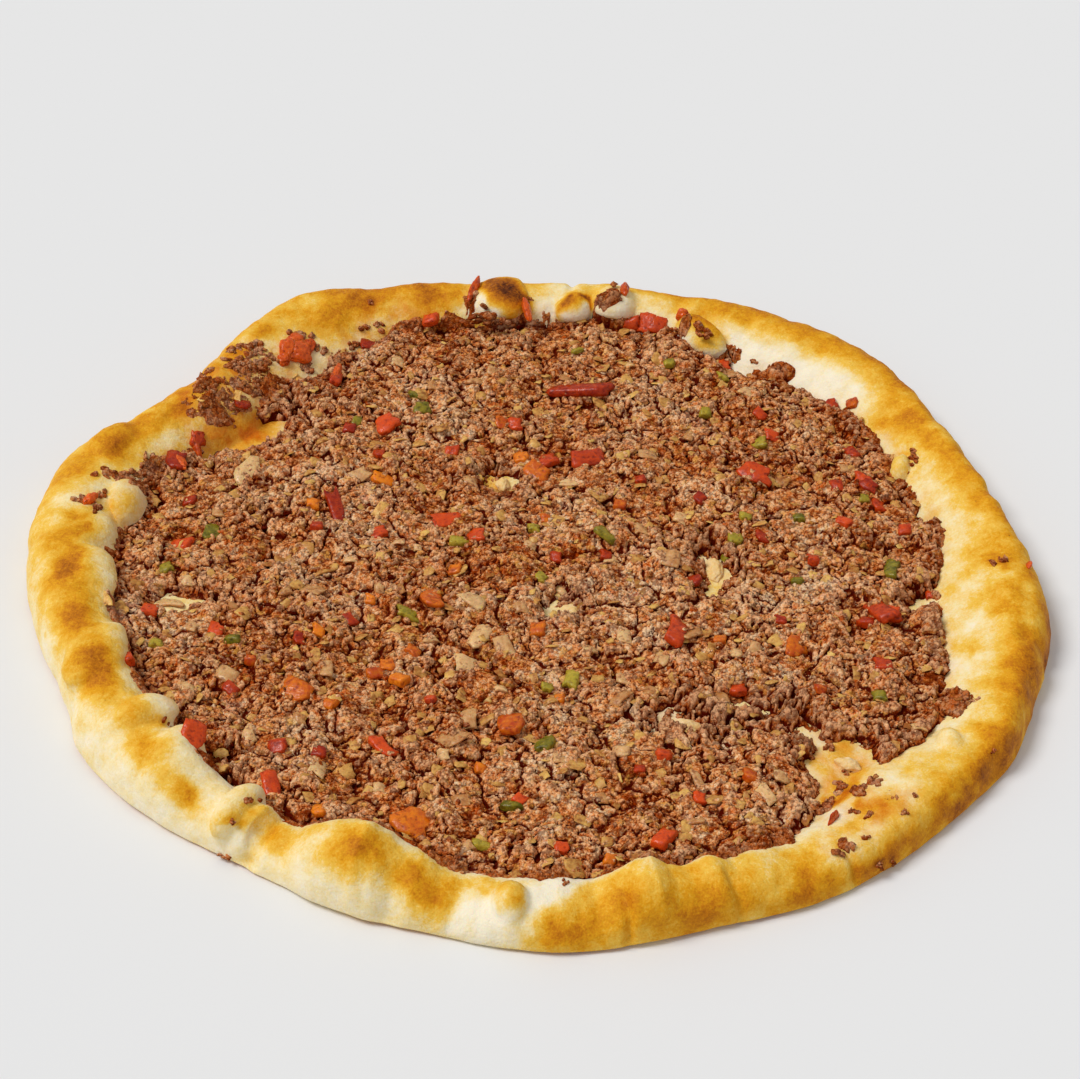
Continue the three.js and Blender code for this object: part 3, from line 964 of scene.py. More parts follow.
# Where fat from the meat ran over the dough: place on the picture frame, width in pixels, percent of oil.
OILED = (
    (400, 323, 60, 60), (372, 330, 50, 45), (350, 345, 40, 40), (430, 310, 50, 45), (310, 345, 50, 40),
    (232, 378, 56, 75), (262, 386, 50, 65), (287, 374, 40, 55), (215, 398, 50, 65), (250, 352, 40, 50),
    (242, 433, 70, 80), (255, 428, 44, 60), (228, 440, 40, 70), (220, 440, 40, 60), (196, 385, 40, 80),
    (250, 366, 46, 80), (270, 425, 40, 50), (190, 420, 40, 45), (200, 400, 40, 45), (170, 470, 30, 45),
    (165, 455, 30, 45), (140, 490, 26, 40), (120, 505, 30, 30), (840, 765, 50, 50), (820, 745, 40, 50),
    (835, 795, 50, 60), (865, 800, 50, 55), (880, 815, 40, 55), (905, 800, 30, 35), (945, 690, 20, 50),
    (940, 640, 18, 50), (950, 660, 16, 40), (934, 560, 14, 40), (912, 505, 20, 45), (880, 440, 30, 35),
    (895, 455, 20, 45), (755, 372, 16, 40), (690, 725, 40, 40), (564, 612, 30, 45), (500, 325, 50, 30),
    (540, 322, 30, 45), (840, 845, 30, 45), (880, 838, 30, 35), (910, 812, 20, 30),
)


@dataclass
class Flatbread:
    """The dough: a thin floor inside a risen rim, rolled round from one flat sheet."""

    plan: Plan
    view: PictureFrame
    turns: int = 1180  # columns of the sheet round the bread
    tuck: float = 2.6  # how far the resting face stays inside the outer edge
    foot_inset: float = 3.6  # the rim starts this far under the edge of the mince
    under_shares: tuple[float, ...] = (0.0, 0.35, 0.65, 0.86, 0.95, 1.0)  # rows of the underside
    wall_low: float = -60.0  # degrees below level where the outer wall leaves the table
    wall_rows: int = 24
    slope_rows: int = 22
    floor_steps: tuple[float, ...] = (1.2, 2.6, 4.3, 6.4, 9, 12, 15.5, 20, 25, 32, 42, 56, 74, 93)
    widest_share: float = 0.14  # height of the widest part of the rim as a share of its crest
    lip_share: float = 0.60  # place of the near lip between the outer edge and the foot
    slope_fullness: tuple[float, ...] = (0.25, 0.25, 0.45, 0.8, 0.35, 0.7, 0.9, 0.9, 1.0, 0.9, 0.75, 0.4)
    fold_swell: Ripple = Ripple(40, 0.25, 9.0)
    fold_reach: float = 2.2  # a fold moves the skin as far out as this many times its half width
    fold_rise: float = 3.0  # a fold's middle lies at least this far under its top
    fold_root: float = 2.2  # and this far under the skin
    blend: float = 0.36  # how gently a fold rises out of the rim
    # Unevenness of the rim's section, read on a ring of this radius.
    ring_radius: float = 125.0
    outer_sway: Ripple = Ripple(3, 1.1, 22.0, 3)
    foot_sway: Ripple = Ripple(3, 1.6, 17.0, shift=500)
    crest_sway: Ripple = Ripple(3, 0.12, 30.0, shift=900)
    floor_sway: Ripple = Ripple(5, 0.35, 16.0)
    # Unevenness of the skin.
    swellings: Ripple = Ripple(11, 0.85, 19.0)
    dimples: Ripple = Ripple(12, 0.50, 7.0)
    pits: Ripple = Ripple(13, 0.20, 3.0)
    crease_bend: Ripple = Ripple(14, 1.2, 9.0, 1)
    wrinkles: Ripple = Ripple(15, 0.42, 6.0, 3)  # across the rim, where the dough was drawn
    wrinkle_step: float = 0.3  # the less this is, the further the wrinkles are drawn out across the rim
    floor_bumps: Ripple = Ripple(16, 1.0, 7.0, 3)
    floor_bump_height: float = 1.1
    floor_share: float = 0.35  # share of the swellings that the floor has
    # Browning and oil.
    spot_strength: float = 0.68
    spot_spread: float = 1.2  # a toasted spot reaches this many times its half width
    oil_spread: float = 1.1
    stray: Ripple = Ripple(20, 3.4, 7.0, 4)  # how the edges of the spots wander
    mottle: Ripple = Ripple(23, 1.0, 5.0, 3)
    cloud: Ripple = Ripple(24, 0.7, 15.0, 3)
    under_bake: float = 0.34
    under_cloud: Ripple = Ripple(25, 0.45, 22.0, 3)
    fleck: Ripple = Ripple(26, 1.0, 8.0)
    fleck_strength: float = 0.3  # how oily the flecks by the mince are
    runs: Ripple = Ripple(27, 1.0, 5.0, 3)

    def rows(self) -> int:
        """Number of rows of the sheet, from the middle of the underside to the middle of the floor."""
        return len(self.under_shares) + self.wall_rows + self.slope_rows + len(self.floor_steps) + 1

    def section(self, bearing: np.ndarray) -> tuple[np.ndarray, ...]:
        """Sizes of the rim's section.

        Args:
            bearing: Degrees, one for each wanted section.

        Returns:
            Outer and foot radius, crest height and crest radius.
        """
        ring = self.plan.place(bearing, np.full(len(bearing), self.ring_radius))
        outer = around(OUTER_RADIUS, OUTLINE_STEP, bearing) + self.outer_sway.at(ring)
        foot = around(FOOT_RADIUS, OUTLINE_STEP, bearing) - self.foot_inset + self.foot_sway.at(ring)
        crest = around(CREST_HEIGHT, CREST_STEP, bearing) * (1 + self.crest_sway.at(ring))
        share = around(CREST_OUTSIDE, CREST_STEP, bearing)
        lip_bearings, lip_heights = self.lip()
        turn = bearing % 360
        near = smoothstep(lip_bearings[0] - 6, lip_bearings[0] + 4, turn)
        near = near * (1 - smoothstep(lip_bearings[-1] - 4, lip_bearings[-1] + 8, turn))
        crest = crest * (1 - near) + np.interp(turn, lip_bearings, lip_heights) * near
        share = share * (1 - near) + self.lip_share * near
        return outer, foot, crest, outer - (outer - foot) * share

    def lip(self) -> tuple[np.ndarray, np.ndarray]:
        """Bearings of the near lip and its heights there, worked out from its line on the picture."""
        heights = np.arange(4.0, 22.0, 0.1)
        eye = np.array(self.view.eye) / MM
        found = []
        for x, y in LIP_LINE:
            ray = np.array(self.view.ray(x, y))
            places = eye + ray * ((heights - eye[2]) / ray[2])[:, None]
            bearing, radius = self.plan.polar(places)
            outer = around(OUTER_RADIUS, OUTLINE_STEP, bearing)
            foot = around(FOOT_RADIUS, OUTLINE_STEP, bearing) - self.foot_inset
            best = np.abs(radius - outer + (outer - foot) * self.lip_share).argmin()
            found.append((bearing[best] % 360, heights[best]))
        found.sort()
        return tuple(np.array(found).T)

    def sheet_places(self, turn: np.ndarray, row: np.ndarray) -> np.ndarray:
        """Where each point of the flat sheet lies once it is rolled round and risen.

        Args:
            turn: Bearings in degrees.
            row: Row numbers.

        Returns:
            Places in millimetres, n by 3.
        """
        outer, foot, crest, crest_radius = self.section(turn)
        radius, height = np.zeros(len(row)), np.zeros(len(row))
        under = len(self.under_shares)
        flat = row < under
        radius[flat] = (np.asarray(self.under_shares)[row[flat]]) * (outer[flat] - self.tuck)
        wall = (row >= under) & (row < under + self.wall_rows)
        angle = np.radians(self.wall_low + (90 - self.wall_low) * (row[wall] - under) / (self.wall_rows - 1))
        widest = crest[wall] * self.widest_share
        rise = np.sin(angle)
        roundness = np.where(rise > 0, 0.8, 0.3)
        reach = np.clip(np.cos(angle), 0, 1) ** roundness
        radius[wall] = crest_radius[wall] + (outer - crest_radius)[wall] * reach
        height[wall] = widest + rise * np.where(rise > 0, crest[wall] - widest, widest)
        first_slope = under + self.wall_rows
        slope = (row >= first_slope) & (row < first_slope + self.slope_rows)
        share = (row[slope] - first_slope + 1) / self.slope_rows
        full = around(self.slope_fullness, CREST_STEP, turn[slope])
        fall = (1 - share ** (1.35 + 0.75 * full)) ** (1.2 - 0.5 * full)
        radius[slope] = crest_radius[slope] - (crest_radius - foot)[slope] * share
        height[slope] = FLOOR_THICKNESS + (crest[slope] - FLOOR_THICKNESS) * fall
        inside = row >= first_slope + self.slope_rows
        steps = np.asarray(self.floor_steps + (1000.0,))  # the last step goes past the middle
        radius[inside] = np.clip(foot[inside] - steps[row[inside] - first_slope - self.slope_rows], 0, None)
        plan = self.plan.place(turn, radius)
        even = np.clip(radius[inside] / 20.0, 0, 1)  # all columns meet in the middle, at one height
        height[inside] = FLOOR_THICKNESS
        height[inside] += self.floor_sway.at(plan[inside]) * even
        return np.column_stack([plan, height])

    def raise_folds(self, points: np.ndarray, soft: np.ndarray) -> np.ndarray:
        """Pushes the skin out to each fold's rounded form.

        Args:
            points: Places in millimetres.
            soft: Share of the push that each point takes.

        Returns:
            The new places.
        """
        for k, fold in enumerate(FOLDS):
            middle, unit, _ = self.view.oval(fold, fold.waist)
            flat = (points[:, :2] - middle) @ unit.T
            far = np.linalg.norm(flat, axis=1)
            near = (far < self.fold_reach) & (soft > 0)
            under = (far < 0.25) & (soft > 0)
            base = points[under, 2].max() if under.any() else 8.0
            low = min(base, fold.top - self.fold_rise) - self.fold_root
            swell = 1 + replace(self.fold_swell, seed=self.fold_swell.seed + k).at(points[near])
            local = np.column_stack([flat[near], (points[near, 2] - low) / (fold.top - low)]) / swell[:, None]
            reach = np.linalg.norm(local, axis=1) + 1e-6
            out = np.maximum(reach, 1.0)
            band = np.abs(reach - 1) <= self.blend
            out[band] = reach[band] + (1 + self.blend - reach[band]) ** 2 / (4 * self.blend)
            centre = np.array((*middle, low))
            moved = centre + (points[near] - centre) * (out / reach)[:, None]
            moved[:, 2] = np.maximum(moved[:, 2], points[near, 2])
            share = soft[near][:, None]
            points[near] = points[near] * (1 - share) + moved * share
        return points

    def build(self) -> Piece:
        """Rolls the sheet round, raises the folds and roughens the skin.

        Returns:
            The bread, with its bake and oil attributes still to be written.
        """
        rows = self.rows()
        bread = flat_sheet("flatbread_crust", self.turns, rows - 1)
        flat = points_of(bread) * MM  # on the unit square, places are shares of a turn and of a section
        turn = (flat[:, 0] + 0.5) * 360.0
        row = np.rint((flat[:, 1] + 0.5) * (rows - 1)).astype(int)
        points = self.sheet_places(turn, row)
        first_wall = len(self.under_shares)
        first_floor = first_wall + self.wall_rows + self.slope_rows
        soft = smoothstep(first_wall + 1.0, first_wall + 9.0, row.astype(float))
        points = self.raise_folds(points, np.where(row < first_floor + 5, soft, 0.0))
        move_points(bread, points)
        edit(bread, self.close_seams)
        self.roughen(bread)
        smooth(bread)
        return bread

    @staticmethod
    def close_seams() -> None:
        """Joins the sheet's two ends and its two middles, and turns its faces outwards."""
        bpy.ops.mesh.select_all(action="SELECT")
        bpy.ops.mesh.remove_doubles(threshold=0.00002)
        bpy.ops.mesh.normals_make_consistent(inside=False)
        bpy.ops.mesh.select_all(action="DESELECT")

    def roughen(self, bread: Piece) -> None:
        """Moves the skin along its normals: swellings, dimples and pinched creases.

        Args:
            bread: The closed bread.
        """
        points, normal = points_of(bread), normals_of(bread)
        bearing, radius = self.plan.polar(points)
        outer = around(OUTER_RADIUS, OUTLINE_STEP, bearing)
        foot = around(FOOT_RADIUS, OUTLINE_STEP, bearing)
        rim = smoothstep(-8.0, 0.0, radius - foot)
        live = smoothstep(0.4, 3.5, points[:, 2])  # the resting face stays flat
        ring = self.plan.place(bearing, np.full(len(bearing), 130.0))
        drawn = np.column_stack([ring, self.wrinkle_step * (radius + points[:, 2])])
        depth = self.swellings.at(points) + self.dimples.at(points) + self.wrinkles.at(drawn)
        uneven = (1 - rim) * smoothstep(50.0, 20.0, foot - radius) * self.floor_bumps.at(points)
        depth = depth * (self.floor_share + (1 - self.floor_share) * rim) + self.pits.at(points)
        depth = depth + self.floor_bump_height * uneven
        outside = smoothstep(-2.0, 3.0, radius - outer + 9.0)
        bend = self.crease_bend.at(points)
        for crease in CREASES:
            across = np.radians((bearing - crease.bearing + 180) % 360 - 180) * radius + bend
            depth = depth - crease.depth * np.exp(-((across / crease.width) ** 2)) * outside
        points = points + normal * (depth * live)[:, None]
        points[:, 2] = np.maximum(points[:, 2], 0.0)
        move_points(bread, points)

    def bake(self, bread: Piece, tree: BVHTree, mince_edge: Callable[[np.ndarray], np.ndarray]) -> None:
        """Writes how far each point is browned and how oily it is.

        Args:
            bread: The shaped bread.
            tree: The bread's search tree.
            mince_edge: Gives for plan places the distance inside the edge of the mince.
        """
        points, normal = points_of(bread), normals_of(bread)
        bearing, radius = self.plan.polar(points)
        warped = points + self.stray.along(points, 3)
        mottle = self.mottle.at(points)
        dark = self.base_bake(bearing, radius, points[:, 2]) * (1 + self.cloud.at(points) + 0.35 * mottle)
        dark = dark + 0.05 * mottle
        under = smoothstep(-0.35, -0.8, normal[:, 2])
        dark = dark * (1 - under) + under * (self.under_bake + self.under_cloud.at(points))
        keep = 1 - dark
        for away, depth in self.spots(tree, TOASTED, warped, self.spot_spread):
            keep = keep * (1 - self.spot_strength * depth * np.exp(-(away**2.6)))
        write_attribute(bread, "bake", np.clip(1 - keep, 0, 1))
        inside = mince_edge(points[:, :2])
        top = smoothstep(0.0, 0.5, normal[:, 2])
        flecks = self.fleck_strength * smoothstep(0.1, 0.5, self.fleck.at(points))
        dry = 1 - flecks * smoothstep(-4.0, 0.5, inside) * top
        runny = 0.30 + 0.70 * smoothstep(-0.15, 0.30, self.runs.at(points))
        for away, strength in self.spots(tree, OILED, warped, self.oil_spread):
            dry = dry * (1 - strength * np.exp(-(away**2)) * top * runny)
        write_attribute(bread, "oil", np.clip(1 - dry, 0, 1))

    def spots(
        self, tree: BVHTree, rows: Sequence[tuple[float, ...]], points: np.ndarray, spread: float
    ) -> Iterator[tuple[np.ndarray, float]]:
        """Finds spots on the dough.

        Args:
            tree: The bread's search tree.
            rows: Place on the picture frame, width in pixels and strength in percent of each spot.
            points: The points of the bread.
            spread: How many times its half width a spot reaches.

        Returns:
            For each spot, how far each point is from it as a share of its reach, and its strength.
        """
        for x, y, width, strength in rows:
            place, _ = self.view.behind(tree, x, y)
            if place is not None:
                reach = width / PIXELS_PER_MM / 2 * spread
                yield np.linalg.norm(points - np.array(place) / MM, axis=1) / reach, strength / 100

    def base_bake(self, bearing: np.ndarray, radius: np.ndarray, height: np.ndarray) -> np.ndarray:
        """How far the dough is browned before the spots, read between the rings of stations.

        Args:
            bearing: Degrees of each point.
            radius: Distance of each point from the plan's first middle.
            height: Height of each point above the table.

        Returns:
            The bake of each point.
        """
        outer, foot, top, crest_radius = self.section(bearing)
        rings = (around(ring, BAKE_STEP, bearing) for ring in np.divide(BAKE_RINGS, 100))
        wall, shoulder, crest, slope = rings
        outside = (outer - radius) / (outer - crest_radius)
        inside = (crest_radius - radius) / (crest_radius - foot)
        low = (1 - smoothstep(0.40, 0.85, height / top)) * (1 - smoothstep(0.2, 0.8, outside))
        top = shoulder + (crest - shoulder) * smoothstep(0.30, 0.95, outside)
        top = top + (slope - top) * smoothstep(0.10, 0.70, inside)
        return top + (wall - top) * low


# ---- Minced layer ----
# Where the mince has parted and dough shows.
BARE = tuple(Patch(*row) for row in (
    (840, 764, 60, 30, 14), (812, 741, 40, 18, 20), (760, 712, 24, 7), (686, 727, 40, 15, 4),
    (850, 815, 64, 40, -30), (843, 846, 60, 34, -10), (880, 792, 80, 34, -28), (238, 434, 70, 22, -14),
    (905, 775, 60, 24, -35), (815, 866, 60, 24, -20), (934, 756, 40, 18, -30), (714, 570, 18, 26),
    (568, 613, 15, 11), (502, 487, 10, 10), (222, 780, 18, 12, 30), (655, 868, 22, 8),
    (560, 886, 24, 12, -10), (928, 598, 12, 6, -20), (700, 861, 20, 10), (178, 606, 12, 5),
    (934, 508, 14, 8, 40), (745, 365, 14, 8),
))
# Where mince and fat-fried crumbs lie up on the rim.
SPILLED = tuple(Patch(*row) for row in (
    (219, 398, 82, 36, -26), (246, 366, 34, 18, -20), (294, 397, 76, 30, -12), (232, 350, 26, 12, -8),
    (262, 360, 26, 22, -30), (300, 370, 44, 18, -8), (337, 374, 30, 14, -10), (293, 372, 34, 15),
    (350, 356, 44, 13, -20), (609, 296, 36, 19), (472, 298, 14, 30, 10), (527, 308, 10, 34, 6),
    (683, 326, 12, 26, 40), (668, 340, 16, 10), (363, 328, 14, 7), (379, 325, 12, 6), (196, 398, 30, 20, -30),
    (118, 478, 22, 12, 10), (136, 484, 20, 12), (150, 470, 26, 16, -20), (862, 806, 26, 12, -30),
    (884, 800, 18, 12, -30), (958, 706, 42, 24, 10), (446, 325, 26, 10),
))
# Lumps of mince that stand up: their ovals and how much higher they are.
HEAPS = (
    (Patch(708, 370, 46, 14, 20), 1.8), (Patch(500, 334, 70, 12, -4), 1.6), (Patch(600, 326, 90, 12, 2), 1.8),
    (Patch(573, 325, 44, 12), 2.8), (Patch(612, 322, 46, 12), 3.0), (Patch(124, 592, 24, 56), 1.2),
    (Patch(136, 655, 24, 54, -20), 1.3), (Patch(778, 377, 44, 22, 10), 1.8), (Patch(926, 626, 30, 24), 1.8),
    (Patch(958, 706, 40, 24, 10), 1.0),
)


@dataclass
class MinceBed:
    """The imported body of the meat, in four quarters whose tops are worked into clods, crumbs and grit."""

    plan: Plan
    view: PictureFrame
    spacing: float = 0.37  # between the points of the sheets
    half: float = 124.0  # half the width of the sheets before they are trimmed
    margin: float = 2.5  # how far the sheets run in under the rim
    hidden: float = 0.8  # how far the sheets lie under the dough where dough shows
    settled: float = 0.3  # how much lower than the solid the sheets lie on average
    bottom: float = 1.6  # how far the sheets reach down into the floor of the bread
    survey_step: float = 1.2  # between the places where the height of the dough is taken
    on_rim: float = 0.9  # mean thickness of the mince that lies up on the rim
    tuck: float = 3.5  # how far the mince runs in under the sides of a fold
    beside_fold: float = 5.0  # how much the mince stands back from the dough there
    # Width and height of the clods and of what lies on them.
    clods: tuple[tuple[float, float], ...] = ((12.5, 1.8), (5.2, 1.2), (2.5, 0.34), (1.2, 0.14))
    clod_seed: int = 36
    crumble: float = 0.9  # height of the crumbly grain on the clods
    crumble_seed: int = 43
    ragged: Ripple = Ripple(31, 2.6, 8.5, 3)  # how the edges wander
    bend: Ripple = Ripple(34, 4.2, 5.0)  # how the outlines of the clods wander
    nudge: Ripple = Ripple(44, 1.0, 1.5, 1)
    looseness: Ripple = Ripple(46, 1.0, 17.0)
    swell: float = 1.1
    broad: Ripple = Ripple(41, 1.0, 26.0)
    hummocks: Ripple = Ripple(42, 1.3, 10.0, 4)
    maps: dict[str, HeightMap] = field(default_factory=dict)

    def __post_init__(self) -> None:
        """Settles the grid of the sheets."""
        self.count = 2 * int(self.half / self.spacing)
        self.spacing = 2 * self.half / self.count
        self.corner = self.plan.shift - self.half

    def grid(self, step: np.ndarray) -> np.ndarray:
        """Plan places of a square grid, n by 2, from its steps along each side."""
        return np.stack(np.meshgrid(step, step, indexing="ij"), -1).reshape(-1, 2) + self.corner

    def map_of(self, values: np.ndarray) -> HeightMap:
        """A map of numbers that were worked out over the whole grid."""
        return HeightMap(self.corner, self.spacing, values.reshape(self.count + 1, self.count + 1))

    def oval(self, patch: Patch, dough: BVHTree) -> Oval:
        """Turns an oval on the picture into one in plan, where it lies on the bread."""
        place, _ = self.view.behind(dough, patch.x, patch.y)
        return self.view.oval(patch, FLOOR_THICKNESS if place is None else place.z / MM)

    def wander(self, plan: np.ndarray) -> np.ndarray:
        """Plan places moved about a little, which makes every edge of the mince ragged."""
        return plan[:, :2] + self.ragged.along(plan, 2)

    def depth_in(self, plan: np.ndarray, ovals: Sequence[Oval]) -> np.ndarray:
        """How far inside the nearest of some ovals each place lies, in millimetres."""
        inside = np.full(len(plan), -60.0)
        for middle, unit, size in ovals:
            inside = np.maximum(inside, (1 - np.linalg.norm((plan - middle) @ unit.T, axis=1)) * size)
        return inside

    def inside_foot(self, plan: np.ndarray) -> np.ndarray:
        """How far inside the foot of the rim each place lies, in millimetres."""
        bearing, radius = self.plan.polar(plan)
        return around(FOOT_RADIUS, OUTLINE_STEP, bearing) - radius

    def relief(self, plan: np.ndarray) -> tuple[np.ndarray, list[np.ndarray]]:
        """Height of the clods, the lumps on them and the grit on those.

        Args:
            plan: Places, n by 2.

        Returns:
            Heights whose mean is nought, and for each size of lump a number that is the lump's own.
        """
        nudge = self.nudge.along(plan, 2)
        bent = plan[:, :2] + self.bend.along(plan, 2) + 0.8 * nudge
        # Some of the meat is packed smooth and some is loose and lumpy.
        loose = 0.45 + 1.1 * smoothstep(-0.25, 0.35, self.looseness.at(plan))
        height = self.crumble * loose * Grain(self.crumble_seed).billowed(plan[:, :2] + 0.5 * nudge, 2.0, 4)
        numbers = []
        for k, (width, rise) in enumerate(self.clods):
            dome, own = Nodules(width, self.clod_seed + k).at(bent + 13 * k)
            height = height + rise * dome * (loose if k > 0 else 1.0)
            numbers.append(own)
        height = height + self.swell * (self.broad.at(plan) + self.hummocks.at(plan))
        return height - height.mean(), numbers

    def survey(self, dough: BVHTree) -> None:
        """Works out the top of the mince over the whole grid, and the colour numbers of each place.

        Args:
            dough: The bread's search tree.
        """
        plan = self.grid(np.arange(self.count + 1) * self.spacing)
        coarse = np.arange(0, 2 * self.half + self.survey_step, self.survey_step)
        posts = drop_heights(dough, self.grid(coarse)).reshape(len(coarse), -1)
        floor = HeightMap(self.corner, self.survey_step, posts).read(plan)
        moved = self.wander(plan)
        foot = self.inside_foot(moved)
        buried = self.depth_in(moved, [self.view.oval(fold, fold.waist) for fold in FOLDS])
        bare, spilled = (
            self.depth_in(moved, [self.oval(patch, dough) for patch in patches])
            for patches in (BARE, SPILLED)
        )
        relief, numbers = self.relief(plan)
        thin = smoothstep(-2.0, 1.0, spilled) * smoothstep(0.0, -5.0, foot)
        on_dough = floor + self.on_rim * (1 - 0.65 * thin) + (0.45 + 0.25 * thin) * relief
        # Beside a fold the mince stays level.
        level = smoothstep(-1.5, 0.5, buried) * smoothstep(1.0, -1.0, spilled)
        full = FLOOR_THICKNESS + MINCE_THICKNESS - self.settled + relief
        full = np.maximum(full, on_dough - self.beside_fold * level)
        cover = smoothstep(-1.6, 1.4, foot + 0.5 * relief) * smoothstep(-1.2, 6.6, -bare + 1.6 * relief)
        cover = cover * smoothstep(-1.2, 2.2, self.tuck - buried + 0.8 * relief)
        cover = np.maximum(cover, smoothstep(-0.6, 1.6, spilled + 1.3 * relief))
        heap = sum(
            height * smoothstep(0.0, 3.5, self.depth_in(moved, [self.oval(patch, dough)]))
            for patch, height in HEAPS
        )
        cover = np.maximum(cover, np.clip(heap, 0, 1))
        top = floor - self.hidden + (full + heap - floor + self.hidden) * cover
        inside = np.maximum(np.minimum(foot, -bare), spilled)
        kept = (self.inside_foot(plan) >= -self.margin) | (cover >= 0.02)
        clod, lump, crumb, grit = numbers
        on_edge = 1 - smoothstep(0.0, 10.0, inside + 3.0 * (clod - 0.5))
        self.maps = {name: self.map_of(values) for name, values in {
            "top": top,
            "cover": cover,
            "kept": self.whole(kept.reshape(self.count + 1, -1)).astype(float),
            "tone": 0.5 + 0.30 * (crumb - 0.5) + 0.36 * (grit - 0.5) + 0.2 * (clod - 0.5),
            "spice": (7.3 * crumb + 0.31 * grit) % 1.0,
            "sear": np.maximum(on_edge, smoothstep(-2.0, 1.0, spilled)),
            "char": 0.5 * smoothstep(-1.0, 2.0, spilled) * smoothstep(0.45, 0.8, lump),
        }.items()}
        self.shade(floor)

    def shade(self, floor: np.ndarray) -> None:
        """Works out the mean height, and the lift: how far each place stands out of the hollows round it.

        Args:
            floor: Height of the dough at each point of the grid.
        """
        top = self.maps["top"]
        # The lift is painted light: the mince's colour is darkened in the hollows as shade and lightened on
        # the tops as highlight.
        lift = 0.14 * np.clip(top.values - top.blurred(8.0), -0.7, 1.5)
        lift = lift + 0.30 * np.clip(top.values - top.blurred(3.2), -0.9, 1.0)
        # On a slope only the small hollows get painted shade.
        lift = 0.54 + lift * smoothstep(7.5, 4.5, floor).reshape(lift.shape)
        lift = lift + 0.42 * np.clip(top.values - top.blurred(1.5), -0.6, 0.8)
        self.maps["lift"] = self.map_of(np.clip(lift, 0, 1))
        self.maps["mean"] = self.map_of(top.blurred(3.5))

    @staticmethod
    def whole(kept: np.ndarray) -> np.ndarray:
        """Mends the outline of the mince, so that each quarter can be closed.

        Args:
            kept: Whether each point of the grid is part of the mince.

        Returns:
            The same without holes, without threads and without patches that hang together by a corner.
        """
        outside = np.pad(np.zeros_like(kept[1:-1, 1:-1]), 1, constant_values=True) & ~kept
        while True:
            grown = outside.copy()
            for step, axis in ((1, 0), (-1, 0), (1, 1), (-1, 1)):
                grown |= np.roll(outside, step, axis)
            grown &= ~kept
            if (grown == outside).all():
                break
            outside = grown
        kept = ~outside
        while True:
            face = np.pad(kept[:-1, :-1] & kept[1:, :-1] & kept[:-1, 1:] & kept[1:, 1:], 1)
            a, b, c, d = face[:-1, :-1], face[1:, :-1], face[:-1, 1:], face[1:, 1:]
            torn = (a & d & ~b & ~c) | (b & c & ~a & ~d)
            mended = kept & (a | b | c | d) & ~torn
            if (mended == kept).all():
                return kept
            kept = mended

    def build(self, dough: BVHTree) -> list[Piece]:
        """Makes the four quarters.

        Args:
            dough: The bread's search tree.

        Returns:
            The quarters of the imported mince.
        """
        self.survey(dough)
        sides = ((1, 1), (-1, 1), (-1, -1), (1, -1))
        return [self.quarter(f"mince_bed_{k + 1}", np.array(side)) for k, side in enumerate(sides)]

    def quarter(self, name: str, side: np.ndarray) -> Piece:
        """Trims a fine sheet to the outline of the mince, gives it thickness and works its top.

        Args:
            name: The piece's name.
            side: On which side of the middle it lies, along X and along Y.

        Returns:
            The quarter.
        """
        quarter = flat_sheet(name, self.count // 2, self.count // 2)
        points = points_of(quarter) * MM * self.half
        points[:, :2] += self.plan.shift + side * self.half / 2
        points[:, 2] = self.maps["top"].read(points)
        move_points(quarter, points)
        select_points(quarter, self.maps["kept"].read(points) < 0.5)
        edit(quarter, self.trim)
        sheet = len(quarter.data.vertices)
        edit(quarter, self.thicken)
        points = points_of(quarter)
        points[sheet:, 2] = FLOOR_THICKNESS - self.bottom
        move_points(quarter, points)
        for number in ("lift", "tone", "spice", "sear", "char"):
            write_attribute(quarter, number, self.maps[number].read(points))
        smooth(quarter)
        return quarter

    @staticmethod
    def trim() -> None:
        """Cuts away what is selected, and the threads that are left."""
        bpy.ops.mesh.select_mode(type="VERT")
        bpy.ops.mesh.delete(type="VERT")
        bpy.ops.mesh.select_all(action="SELECT")
        bpy.ops.mesh.delete_loose(use_verts=True, use_edges=True, use_faces=False)

    @staticmethod
    def thicken() -> None:
        """Draws the sheet's edge down and closes its underside."""
        bpy.ops.mesh.select_mode(type="EDGE")
        bpy.ops.mesh.select_all(action="DESELECT")
        bpy.ops.mesh.select_non_manifold(extend=False)
        bpy.ops.mesh.mark_sharp()
        bpy.ops.mesh.extrude_region_move(TRANSFORM_OT_translate={"value": (0, 0, -0.004)})
        bpy.ops.mesh.edge_face_add()
        bpy.ops.mesh.select_all(action="SELECT")
        bpy.ops.mesh.fill_holes(sides=4)  # under crumbs of a single face
        bpy.ops.mesh.select_all(action="SELECT")
        bpy.ops.mesh.normals_make_consistent(inside=False)


@dataclass
class Ground:
    """What small things lie on: the mince where there is some, else the bread."""

    view: PictureFrame
    bread: BVHTree
    bed: MinceBed

    def spot(self, x: float, y: float) -> tuple[np.ndarray, np.ndarray] | None:
        """Finds where a point of the picture frame lies on the food.

        Args:
            x: Pixels from the left.
            y: Pixels from the top.

        Returns:
            The place in millimetres and the surface's direction there, or None beside the food.
        """
        place, normal = self.view.behind(self.bread, x, y)
        if place is None:
            return None
        bread, normal = np.array(place) / MM, np.array(normal)
        start, way = np.array(self.view.eye) / MM, np.array(self.view.ray(x, y))
        height = FLOOR_THICKNESS + MINCE_THICKNESS
        for _ in range(6):  # each step comes nearer to the top of the mince
            meat = start + way * ((height - start[2]) / way[2])
            height = self.bed.maps["mean"].read(meat[None])[0]
        covered = self.bed.maps["cover"].read(meat[None])[0] > 0.3
        if covered and meat[1] < bread[1] + 1.0:
            return meat, np.array((0.0, 0.0, 1.0))
        return bread, normal


